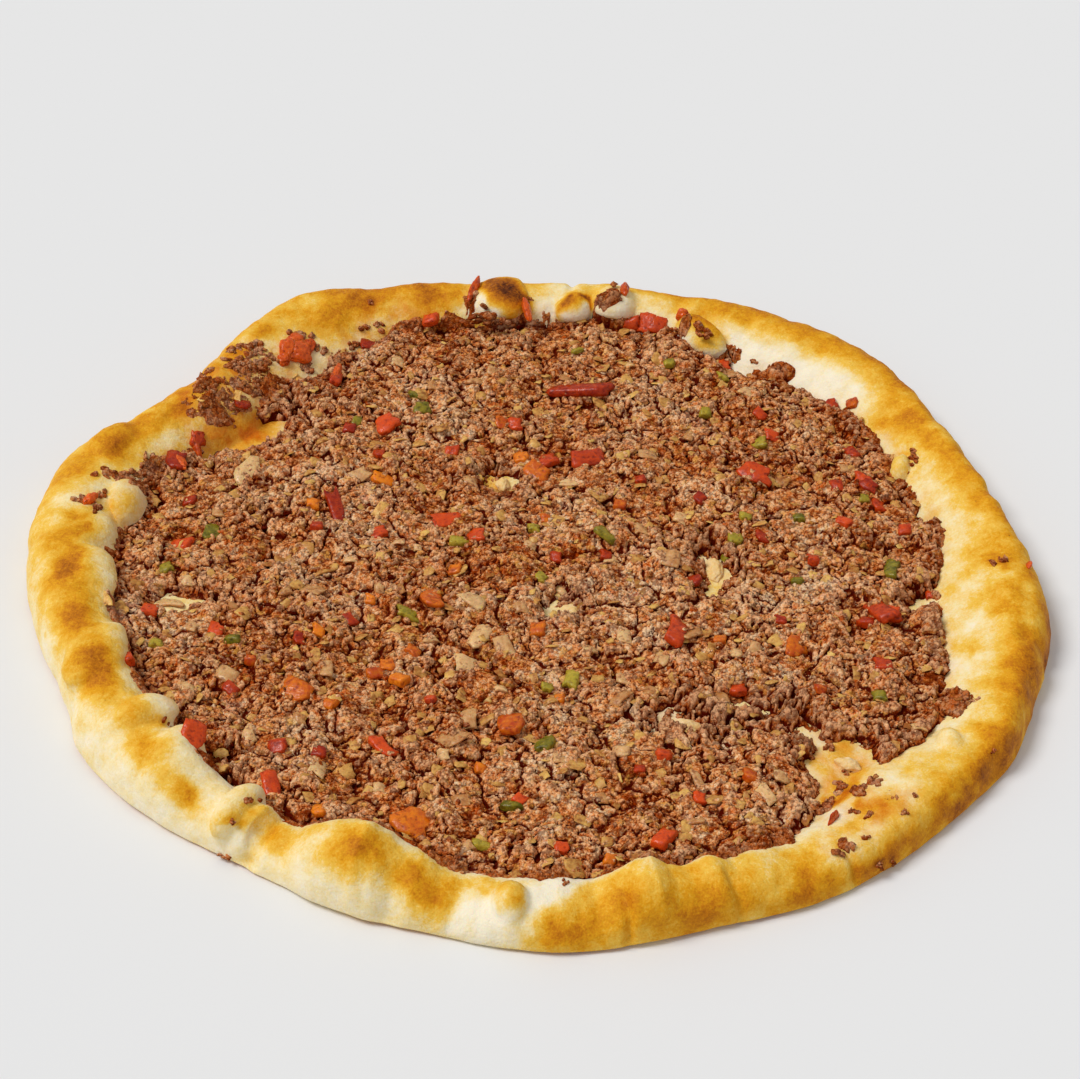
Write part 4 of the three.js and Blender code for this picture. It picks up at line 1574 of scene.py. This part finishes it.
def drop_heights(tree: BVHTree, plan: np.ndarray) -> np.ndarray:
    """Heights of the highest surface over plan places, or nought where there is none.

    Args:
        tree: The surface's search tree.
        plan: Places in millimetres, n by 2.

    Returns:
        Heights in millimetres.
    """
    above, down = 0.06, Vector((0.0, 0.0, -1.0))
    heights = np.zeros(len(plan))
    for k, (x, y) in enumerate(plan * MM):
        place, *_ = tree.ray_cast(Vector((x, y, above)), down)
        if place is not None:
            heights[k] = place.z / MM
    return heights


# ---- Scattered pieces ----
class Form(Enum):
    """What a scattered piece starts as."""

    GRAIN = "grain"  # eight faces, for what is about a millimetre wide
    CRUMB = "crumb"  # eighty faces
    BLISTER = "blister"  # a finely divided ball, for a few large bubbles
    DICE = "dice"  # a cut cube with worn edges
    FLAKE = "flake"  # a thin curved leaf


BALLS = {Form.CRUMB: 2, Form.BLISTER: 5}  # how finely a ball is divided
CUTS = {Form.DICE: 3, Form.FLAKE: 2}  # how often a cube is cut each way
WORN = {Form.DICE: 0.42, Form.FLAKE: 0.5}  # how far a cube is worn towards a ball
LUMPY = {  # the strength, width and layers of the noise that shapes a ball
    Form.GRAIN: (0.9, 0.85, 2), Form.CRUMB: (0.9, 0.85, 2), Form.BLISTER: (0.35, 1.0, 3),
}


@dataclass
class FormSet:
    """A few variants of one form, copied to every place."""

    form: Form
    seed: int
    variants: int = 7

    def blank(self) -> tuple[np.ndarray, np.ndarray]:
        """Makes the form's primitive.

        Returns:
            Its points, with a half size of one, and its faces.
        """
        deselect_all()
        if self.form in BALLS:
            bpy.ops.mesh.primitive_ico_sphere_add(subdivisions=BALLS[self.form], radius=1.0)
        elif self.form is Form.GRAIN:
            bpy.ops.mesh.primitive_cone_add(vertices=4, radius1=1.0, depth=0.2, end_fill_type="TRIFAN")
        else:
            bpy.ops.mesh.primitive_cube_add(size=2.0)
            edit(bpy.context.object, self.cut)
        piece = bpy.context.object
        points = points_of(piece) * MM
        faces = np.array([tuple(face.vertices) for face in piece.data.polygons])
        mesh = piece.data
        bpy.data.objects.remove(piece)
        bpy.data.meshes.remove(mesh)
        return points, faces

    def cut(self) -> None:
        """Cuts a cube into smaller faces."""
        bpy.ops.mesh.select_all(action="SELECT")
        bpy.ops.mesh.subdivide(number_cuts=CUTS[self.form])

    def shape(self) -> tuple[np.ndarray, np.ndarray]:
        """Shapes the variants.

        Returns:
            Points of all variants, v by n by 3, and the faces that they share.
        """
        points, faces = self.blank()
        ball = points / np.linalg.norm(points, axis=1, keepdims=True)
        made = []
        for k in range(self.variants):
            grain = Grain(self.seed + k)
            if self.form in LUMPY:
                reach, width, layers = LUMPY[self.form]
                form = ball * (1 + reach * grain.layered(ball + 3 * k, width, layers))[:, None]
            else:
                edge = WORN[self.form]
                form = points * (1 - edge) + ball * edge
                outline = 1 + 0.9 * grain.layered(form * (1, 1, 0.2), 1.4, 2)
                form = form * np.column_stack([outline, outline, np.ones(len(form))])
                form[:, 2] += 0.5 * grain.at(form + 9, 1.2)
            if self.form is Form.FLAKE:  # a leaf is arched, and twisted one way or the other
                form[:, 2] += 0.9 * (0.5 - form[:, 0] ** 2) + 0.5 * form[:, 1] * form[:, 0] * (k % 3 - 1)
            made.append(form)
        return np.array(made), faces


def turn_matrices(yaw: np.ndarray, pitch: np.ndarray, roll: np.ndarray) -> np.ndarray:
    """Matrices, n by 3 by 3, of a roll about X, then a pitch about Y, then a yaw about Z, in radians."""
    total = np.eye(3)
    for axis, angle in ((2, yaw), (1, pitch), (0, roll)):
        first, second = (axis + 1) % 3, (axis + 2) % 3
        turn = np.zeros((len(angle), 3, 3))
        turn[:, axis, axis] = 1
        turn[:, first, first] = turn[:, second, second] = np.cos(angle)
        turn[:, second, first], turn[:, first, second] = np.sin(angle), -np.sin(angle)
        total = total @ turn
    return total


@dataclass
class Scatter:
    """Many copies of one form, joined as one mesh."""

    name: str
    forms: FormSet
    centres: np.ndarray
    sizes: np.ndarray  # full sizes, n by 3
    turns: np.ndarray  # rotation matrices, n by 3 by 3
    tones: np.ndarray
    extra: dict[str, np.ndarray] = field(default_factory=dict)  # further attributes, one number for each copy
    painted_light_lift: np.ndarray | float = 0.52  # lift of the middle of each copy: painted light, lighter where higher
    painted_top_lift: float = 0.30  # and how much more its top has: painted highlight on top, painted shade underneath

    def build(self) -> Piece:
        """Copies the form to every place.

        Returns:
            The joined piece, with its tone and lift attributes.
        """
        variants, faces = self.forms.shape()
        choice = np.random.default_rng(self.forms.seed).integers(0, len(variants), len(self.centres))
        local = np.einsum("nij,nvj->nvi", self.turns, variants[choice] * (self.sizes / 2)[:, None, :])
        points = local + self.centres[:, None, :]
        count = variants.shape[1]
        corners = faces[None] + (np.arange(len(self.centres)) * count)[:, None, None]
        piece = object_from_arrays(self.name, points.reshape(-1, 3), corners.reshape(-1, faces.shape[1]))
        # Painted light: each copy is lighter towards its top and darker underneath.
        height = local[..., 2] / (np.abs(local[..., 2]).max(axis=1, keepdims=True) + 1e-6)
        write_attribute(piece, "tone", np.repeat(self.tones, count))
        painted_light_lift = np.broadcast_to(self.painted_light_lift, len(self.centres))
        write_attribute(piece, "lift", (painted_light_lift[:, None] + self.painted_top_lift * height).ravel())
        for name, values in self.extra.items():
            write_attribute(piece, name, np.repeat(values, count))
        return piece


# ---- Diced vegetables ----
# Each place is on the picture frame: x, y, length and width in pixels, and the turn of the length in degrees.
RED_DICE = tuple(Patch(*row) for row in (
    (581, 390, 43, 10, 8), (631, 325, 12, 9), (659, 325, 14, 10, 20), (755, 473, 24, 12, 25),
    (771, 437, 11, 8), (759, 415, 9, 7, 30), (831, 406, 10, 8), (850, 452, 12, 9, 60), (862, 480, 14, 9, 10),
    (836, 487, 10, 8), (869, 486, 12, 8, 40), (878, 508, 10, 8), (843, 523, 12, 8, 20), (762, 538, 10, 8),
    (881, 611, 22, 14, 60), (893, 616, 14, 10), (867, 623, 12, 9, 30), (882, 664, 14, 11),
    (676, 630, 15, 24, 10), (693, 582, 12, 9), (738, 690, 12, 9, 10), (663, 756, 12, 9), (561, 849, 11, 8),
    (192, 736, 18, 17), (277, 748, 14, 10), (271, 788, 12, 20, -10), (338, 511, 34, 11, 60),
    (445, 522, 26, 12, -10), (477, 536, 14, 11), (316, 526, 10, 8), (379, 533, 12, 10),
    (215, 631, 13, 10, 20), (181, 545, 16, 9, 10), (190, 501, 10, 8), (350, 430, 10, 9),
    (386, 424, 18, 13, -10), (380, 455, 10, 8), (337, 377, 9, 23, 5), (368, 346, 12, 9), (431, 320, 12, 9),
    (242, 404, 12, 14), (177, 462, 16, 14), (197, 439, 12, 9), (384, 749, 10, 18, -30), (318, 751, 12, 9),
    (516, 426, 11, 8), (588, 459, 26, 14, -15), (644, 324, 16, 12, 10), (547, 461, 16, 12), (605, 556, 9, 7),
    (557, 559, 9, 7), (724, 366, 10, 8), (664, 839, 11, 15, 20), (930, 596, 8, 7), (905, 530, 10, 8),
    (230, 690, 11, 8, 30), (150, 610, 12, 10), (128, 660, 10, 8), (700, 800, 10, 7), (640, 770, 9, 7),
    (520, 800, 9, 7, 20), (430, 700, 9, 7), (350, 620, 9, 7, 40), (300, 640, 10, 8), (452, 452, 10, 7),
    (640, 480, 9, 7), (700, 500, 9, 7, 30), (812, 560, 9, 7), (780, 620, 9, 7),
))
ORANGE_DICE = tuple(Patch(*row) for row in (
    (510, 725, 19, 17), (413, 823, 25, 21, 40), (295, 691, 21, 14, 25), (751, 778, 12, 9), (320, 812, 12, 9),
    (433, 599, 18, 20), (538, 630, 11, 9), (412, 652, 12, 8, 20), (318, 631, 10, 8), (795, 646, 17, 14),
    (376, 675, 14, 8, -20), (387, 666, 11, 8), (400, 680, 12, 8, 20), (521, 459, 11, 9),
    (536, 472, 17, 12, 30), (383, 480, 17, 8), (312, 505, 10, 8), (502, 425, 10, 8), (852, 404, 9, 7),
    (620, 505, 9, 7), (455, 570, 9, 7), (560, 700, 9, 7), (820, 690, 9, 7), (250, 660, 9, 7),
    (330, 705, 9, 7, 20), (610, 860, 9, 7), (720, 640, 9, 7), (545, 520, 8, 7), (480, 770, 9, 7),
    (370, 600, 8, 7),
))
GREEN_DICE = tuple(Patch(*row) for row in (
    (213, 532, 18, 14), (166, 569, 12, 8), (233, 640, 14, 8, 10), (156, 644, 12, 8), (422, 409, 15, 11),
    (414, 396, 10, 7), (357, 422, 10, 7), (459, 542, 20, 9, -5), (407, 614, 20, 10, 5), (533, 530, 10, 7),
    (541, 579, 10, 8, 20), (571, 681, 13, 16, 10), (547, 688, 10, 8), (544, 745, 17, 15),
    (607, 535, 18, 10, 20), (727, 560, 9, 12), (745, 518, 10, 7), (797, 582, 10, 7), (798, 519, 10, 8),
    (864, 499, 9, 7), (892, 571, 12, 19, 10), (577, 351, 10, 7), (722, 377, 10, 7), (511, 806, 18, 7, 10),
    (482, 846, 18, 8), (879, 698, 12, 10), (760, 444, 14, 12), (669, 364, 9, 7), (705, 413, 10, 8),
    (735, 540, 12, 9),
))
ONION_LEAVES = tuple(Patch(*row) for row in (
    (247, 473, 20, 25, 30), (168, 604, 28, 12), (185, 583, 14, 9), (192, 628, 14, 9, 20),
    (225, 675, 22, 14, 20), (187, 688, 14, 10), (311, 590, 28, 15, 20), (285, 592, 14, 9),
    (359, 477, 25, 12, -25), (397, 363, 12, 8), (397, 543, 14, 10), (417, 549, 9, 7), (219, 514, 14, 10),
    (433, 387, 10, 8), (474, 382, 19, 11), (493, 372, 12, 8), (473, 600, 28, 18, 30), (478, 638, 17, 24, 20),
    (504, 649, 17, 24, -10), (466, 666, 27, 18), (326, 669, 13, 18), (466, 720, 22, 18, 20),
    (455, 738, 25, 20, -30), (444, 756, 14, 10), (560, 760, 14, 10), (460, 801, 20, 10), (467, 847, 14, 9),
    (317, 768, 19, 25, 10), (248, 737, 15, 17), (567, 380, 15, 11, 10), (566, 484, 23, 9, 10),
    (629, 366, 12, 8), (647, 455, 18, 12), (690, 437, 12, 14, 20), (729, 375, 12, 8), (747, 392, 16, 12, 20),
    (640, 530, 14, 17), (670, 559, 18, 15, 10), (624, 637, 14, 15), (624, 681, 16, 9), (650, 693, 14, 9, 20),
    (691, 635, 14, 20, 40), (736, 654, 12, 14), (755, 650, 14, 16), (620, 753, 18, 10, 10),
    (698, 782, 22, 10, 60), (694, 822, 24, 8), (765, 794, 22, 12, 40), (782, 778, 18, 11), (919, 728, 14, 9),
    (846, 471, 12, 8), (469, 482, 14, 9), (529, 546, 14, 6, 10), (293, 565, 12, 7), (234, 607, 12, 7),
    (620, 700, 20, 12, -40), (610, 560, 14, 9), (560, 590, 16, 10, 30), (520, 610, 14, 9), (590, 650, 16, 10),
    (680, 520, 14, 9, 20), (720, 700, 16, 9), (660, 660, 14, 10, 30), (500, 690, 14, 9), (430, 640, 16, 9),
    (380, 590, 12, 8), (350, 560, 14, 8), (300, 720, 14, 9), (380, 790, 14, 9), (600, 800, 14, 9),
))
# Bubbles of dough that show through the meat.
BLISTERS = tuple(Patch(*row) for row in (
    (714, 571, 18, 26), (569, 612, 20, 13), (503, 487, 14, 14), (686, 728, 30, 12, 4), (848, 767, 26, 11, 14),
))
# Dark crumbs that stick to the rim.
RIM_CRUMBS = tuple(Patch(*row) for row in (
    (481, 314, 22, 14), (500, 320, 16, 9), (827, 806, 26, 14), (859, 793, 20, 12, -10), (841, 786, 16, 10),
    (830, 747, 14, 9), (877, 782, 16, 9, -20), (846, 772, 9, 5), (296, 334, 16, 7), (311, 340, 8, 10),
    (282, 363, 13, 7, 20), (306, 361, 10, 7), (914, 456, 9, 14, -20), (840, 846, 22, 15), (855, 811, 10, 8),
    (830, 801, 9, 7, 20), (860, 790, 10, 7), (868, 815, 8, 7), (994, 563, 12, 6, 60), (1003, 560, 9, 5, 40),
    (905, 813, 7, 5), (879, 866, 9, 6, 20), (893, 862, 6, 5), (993, 751, 5, 4), (755, 362, 8, 5),
    (220, 856, 16, 5, 24), (229, 350, 16, 9, -10), (240, 347, 12, 9), (251, 355, 14, 10, 30),
    (262, 350, 14, 10), (258, 366, 16, 10), (270, 358, 10, 9), (244, 366, 12, 8), (363, 328, 12, 6),
    (378, 325, 10, 5), (369, 303, 7, 4), (352, 346, 10, 8), (166, 722, 8, 9), (252, 799, 12, 7, -30),
    (232, 822, 6, 5), (150, 482, 12, 9), (140, 474, 12, 8, -30), (84, 500, 14, 12), (95, 509, 14, 10),
    (100, 494, 10, 8), (110, 474, 20, 10), (125, 475, 24, 10), (232, 362, 22, 12, -20), (250, 345, 20, 10),
    (268, 364, 14, 12), (206, 380, 20, 12, -30), (565, 882, 6, 5), (517, 853, 5, 4), (458, 858, 5, 4),
    (488, 322, 26, 8, 8), (700, 328, 14, 10, 30), (706, 335, 12, 8, 30), (866, 838, 6, 5), (915, 796, 5, 4),
    (322, 350, 10, 8), (212, 392, 12, 8),
))
# Soft lumps and strips of tomato, larger than the diced bits.
TOMATO = tuple(Patch(*row) for row in (
    (299, 352, 27, 21, 20), (288, 350, 17, 19), (296, 340, 17, 12), (309, 346, 12, 12), (624, 291, 9, 13),
    (474, 290, 8, 27, 12), (527, 311, 8, 24, -6), (283, 361, 12, 10), (337, 375, 8, 24, 4),
    (834, 820, 18, 4, -50), (1028, 566, 5, 9, 10), (196, 448, 26, 8, 55), (180, 462, 24, 8, 50),
    (90, 500, 10, 15, 20), (683, 316, 14, 8),
))


@dataclass
class Diced:
    """Vegetable of one kind, cut small and lying in the meat."""

    name: str
    form: Form
    seed: int
    slot: str
    finish: bpy.types.Material
    places: tuple[Patch, ...]
    thick: float  # mean thickness
    sunk: float  # share of the thickness that lies under the top of the meat
    tilt: float  # greatest lean in degrees
    nodes: tuple[str, ...] = ()  # the solids that it stands for
    scale: float = 1.0
    marks: dict[str, float] = field(default_factory=dict)  # further attributes that its finish reads
    cluster: int = 1  # how many bits stand in for each piece
    cluster_spread: float = 0.26  # how far those stray, as a share of the piece's size
    cluster_scale: float = 1.25  # how much larger they are than their share of it
    cluster_thick: float = 0.8
    foreshort: float = 0.9  # the width is measured over the near side too, and is this share of what is seen

    def build(self, ground: Ground) -> Piece:
        """Lays each piece where it is seen.

        Args:
            ground: What the pieces lie on.

        Returns:
            The joined pieces.
        """
        rng = np.random.default_rng(self.seed)
        squash = ground.view.squash
        centres, sizes, yaws, stands = [], [], [], []
        alone = self.cluster == 1
        share = self.scale if alone else self.cluster_scale * self.scale / math.sqrt(self.cluster)
        spread = self.cluster_spread
        bits = [(bit, *rng.normal(0, spread, 2)) for bit in self.places for _ in range(self.cluster)]
        for bit, along, across in bits:
            x, y = (bit.x, bit.y) if alone else (bit.x + along * bit.long, bit.y + across * bit.wide)
            long, wide = bit.long * share, bit.wide * share
            found = ground.spot(x, y)
            if found is None:
                continue
            spot, normal = found
            pixel = ground.view.pixel_size(spot)
            way = math.radians(-bit.turn)
            flat_long = math.hypot(math.cos(way), math.sin(way) / squash) * long * pixel
            flat_wide = math.hypot(math.sin(way), math.cos(way) / squash) * wide * pixel * self.foreshort
            thick = self.thick * rng.uniform(0.75, 1.25) * (1.0 if alone else self.cluster_thick)
            centres.append(spot + normal * thick * (0.5 - self.sunk))
            sizes.append((flat_long, flat_wide, thick))
            yaws.append(math.atan2(math.sin(way) / squash, math.cos(way)))
            stands.append(Vector((0.0, 0.0, 1.0)).rotation_difference(Vector(normal)).to_matrix())
        count = len(centres)
        lean = np.radians(self.tilt)
        pitch, roll = rng.uniform(-lean, lean, count), rng.uniform(-lean, lean, count)
        turns = np.array(stands) @ turn_matrices(np.array(yaws), pitch, roll)
        tones = rng.uniform(0.1, 0.9, count)
        extra = {name: np.full(count, value) for name, value in self.marks.items()}
        forms = FormSet(self.form, self.seed)
        piece = Scatter(self.name, forms, np.array(centres), np.array(sizes), turns, tones, extra).build()
        piece.data.materials.append(self.finish)
        return piece


# ---- Crumbs ----
@dataclass
class CrumbLayer:
    """Loose bits of one size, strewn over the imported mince."""

    name: str
    form: Form
    seed: int
    spacing: float  # mean distance between two bits
    smallest: float
    largest: float
    lift: float  # share of the size by which a bit's middle stands above the mince
    ground: str = "top"  # the map of the mince that they lie on
    thin: float = 1.0  # thickness as a share of the width
    lean: float = 180.0  # greatest lean in degrees
    stray: float = 0.6  # how far a bit lies from its point of the grid, in spacings

    def build(self, bed: MinceBed) -> Piece:
        """Strews the bits on a jittered grid.

        Args:
            bed: The mince they belong to.

        Returns:
            The joined bits.
        """
        rng = np.random.default_rng(self.seed)
        step = np.arange(-bed.half, bed.half, self.spacing)
        grid = np.stack(np.meshgrid(step, step), -1).reshape(-1, 2) + bed.plan.shift
        grid = grid + rng.uniform(-self.stray, self.stray, grid.shape) * self.spacing
        # They thin out at the edge of the mince and a few lie just past it.
        grid = grid[rng.uniform(0, 1, len(grid)) < smoothstep(0.05, 0.6, bed.maps["cover"].read(grid))]
        count = len(grid)
        size = self.smallest + (self.largest - self.smallest) * rng.beta(1.4, 2.2, count)
        sizes = size[:, None] * rng.uniform(0.65, 1.25, (count, 3)) * (1, 1, self.thin)
        centres = np.column_stack([grid, bed.maps[self.ground].read(grid) + self.lift * size])
        lean = math.radians(self.lean)
        yaw = rng.uniform(-math.pi, math.pi, count)
        turns = turn_matrices(yaw, *rng.uniform(-lean, lean, (2, count)))
        tones = np.clip(rng.normal(0.5, 0.16, count), 0, 1)
        # Painted light: a crumb in a hollow of the mince is darker, one on a top lighter.
        painted_light_lift = 0.06 + 0.86 * bed.maps["lift"].read(grid)
        extra = {"spice": rng.uniform(0.04, 1, count)}
        for name in ("sear", "char"):
            extra[name] = bed.maps[name].read(grid)
        form = FormSet(self.form, self.seed)
        return Scatter(self.name, form, centres, sizes, turns, tones, extra, painted_light_lift).build()


# ---- Studio ----
@dataclass
class Studio:
    """The pale table, the soft light and the eye."""

    view: PictureFrame
    table_half: float = 4.0  # metres
    light_colour: str = "FFFFFF"  # of the key and of the fill
    key_strength: float = 1.95
    key_angle: float = 0.45  # width of the light in radians: a large soft box
    key_bearing: float = 182.0  # degrees from +X to where the light stands
    key_height: float = 57.0  # degrees above the table
    fill_strength: float = 0.45

    def build(self) -> None:
        """Sets the table, the lights and the camera."""
        self.lay_table()
        self.hang_lights()
        self.set_camera()

    def lay_table(self) -> None:
        """Lays the table top under the bread."""
        deselect_all()
        bpy.ops.mesh.primitive_grid_add(x_subdivisions=4, y_subdivisions=4, size=2 * self.table_half)
        table = bpy.context.object
        table.name = table.data.name = "studio_table"
        table.data.materials.append(StudioTable().material())
        table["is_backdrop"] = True

    def hang_lights(self) -> None:
        """Adds one broad key light and an even fill from the room."""
        colour = hex_linear(self.light_colour)
        light = bpy.data.lights.new("key_light", "SUN")
        light.energy = self.key_strength
        light.angle = self.key_angle
        light.color = colour[:3]
        lamp = bpy.data.objects.new("key_light", light)
        bearing, height = math.radians(self.key_bearing), math.radians(self.key_height)
        source = Vector((
            math.cos(bearing) * math.cos(height), math.sin(bearing) * math.cos(height), math.sin(height),
        ))
        lamp.rotation_euler = source.to_track_quat("Z", "Y").to_euler()
        bpy.context.scene.collection.objects.link(lamp)
        world = bpy.data.worlds.new("room")
        world.use_nodes = True
        room = world.node_tree.nodes["Background"]
        room.inputs["Color"].default_value = colour
        room.inputs["Strength"].default_value = self.fill_strength
        bpy.context.scene.world = world
        bpy.context.scene.view_settings.view_transform = "Standard"

    def set_camera(self) -> None:
        """Puts the camera at the eye."""
        data = bpy.data.cameras.new("eye")
        data.lens = self.view.lens
        data.sensor_width = self.view.sensor
        data.clip_end = 10.0
        camera = bpy.data.objects.new("eye", data)
        camera.location = self.view.eye
        camera.rotation_euler = self.view.back.to_track_quat("Z", "Y").to_euler()
        bpy.context.scene.collection.objects.link(camera)
        bpy.context.scene.camera = camera


# ---- The whole food ----
RED = RoastedVegetable("roasted_red_pepper", "DE5014", "901C00")
TOMATO_SKIN = RoastedVegetable("oven_dried_tomato", "EE6818", "A43004", roughness=0.22, soak=0.3)
ORANGE = RoastedVegetable("roasted_orange_pepper", "F28A1A", "B43C06")
GREEN = RoastedVegetable("roasted_green_pepper", "B8A030", "5C5804")
ONION = RoastedVegetable("cooked_onion", "E8BC82", "B4743A", roughness=0.26, soak=0.45)
SHRED = RoastedVegetable("fried_onion_shreds", "F0BC64", "A05A1C", roughness=0.42, soak=0.3)


def adopt(piece: Piece, slot: str, *nodes: str) -> None:
    """Makes a piece part of the food.

    Args:
        piece: The piece.
        slot: The record's material slot; not used.
        nodes: The solids that it stands for.
    """
    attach(piece, "root")
    if nodes:
        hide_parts(*nodes)
    LOG.info("%s: %d faces", piece.name, len(piece.data.polygons))


def main() -> None:
    """Builds the food, then the studio round it."""
    logging.basicConfig(level=logging.INFO, format="%(name)s: %(message)s")
    plan = Plan()
    view = PictureFrame(plan)
    dough, meat = BakedDough().material(), CookedMince().material()

    flatbread = Flatbread(plan, view)
    bread = flatbread.build()
    bread_tree = tree_of(bread)
    bed = MinceBed(plan, view)
    flatbread.bake(bread, bread_tree, lambda places: bed.inside_foot(bed.wander(places)))
    bread.data.materials.append(dough)
    adopt(bread, "bread_crust", "flatbread")

    for number, mince in enumerate(bed.build(bread_tree)):
        mince.data.materials.append(meat)
        adopt(mince, "minced_topping", *(("mince_layer", "mince_lump_back") if number == 0 else ()))

    layers = (
        CrumbLayer("mince_crumbs_coarse", Form.CRUMB, 51, 6.5, 1.3, 2.6, 0.05, "mean"),
        CrumbLayer("mince_crumbs_medium", Form.CRUMB, 52, 4.2, 0.9, 1.8, 0.0),
        CrumbLayer("mince_grains", Form.GRAIN, 53, 1.5, 0.4, 0.85, 0.10),
    )
    for layer in layers:
        crumbs = layer.build(bed)
        crumbs.data.materials.append(meat)
        adopt(crumbs, "minced_topping")

    ground = Ground(view, bread_tree, bed)
    kinds = (
        Diced("red_pepper_bits", Form.DICE, 61, "red_pepper", RED.material(), RED_DICE, 2.2, 0.42, 24,
              ("red_pepper_1", "red_pepper_2", "red_pepper_4", "red_pepper_6"), 1.32),
        Diced("orange_pepper_bits", Form.DICE, 62, "orange_pepper", ORANGE.material(), ORANGE_DICE, 2.2, 0.42,
              24, ("red_pepper_3", "red_pepper_5"), 1.32),
        Diced("green_pepper_bits", Form.DICE, 63, "green_pepper", GREEN.material(), GREEN_DICE, 2.0, 0.42, 24,
              ("green_pepper_1", "green_pepper_2"), 1.2),
        Diced("onion_bits", Form.FLAKE, 64, "onion", ONION.material(), ONION_LEAVES, 0.9, 0.25, 24,
              ("onion_1", "onion_2")),
        Diced("tomato_pieces", Form.BLISTER, 65, "red_pepper", TOMATO_SKIN.material(), TOMATO, 3.6, 0.40, 10,
              ("tomato_1", "tomato_lump_back_left")),
        Diced("dough_blisters", Form.BLISTER, 67, "bread_crust", dough, BLISTERS, 3.4, 0.40, 4,
              marks={"bake": 0.12, "oil": 0.3}),
        Diced("rim_crumbs", Form.CRUMB, 68, "minced_topping", meat, RIM_CRUMBS, 1.8, 0.48, 40,
              marks={"spice": 0.5, "sear": 1.0, "char": 0.2}, cluster=7),
    )
    for kind in kinds:
        adopt(kind.build(ground), kind.slot, *kind.nodes)

    shreds = CrumbLayer("onion_shreds", Form.FLAKE, 66, 8.4, 1.6, 4.8, 0.06, "mean", thin=0.14, lean=30)
    onion = shreds.build(bed)
    onion.data.materials.append(SHRED.material())
    adopt(onion, "onion")

    Studio(view).build()


if __name__ == "__main__":
    main()
    sizes = {"cad": CAD_BOX, "visual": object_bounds()}
    {name: [list(corner) for corner in box] for name, box in sizes.items()}
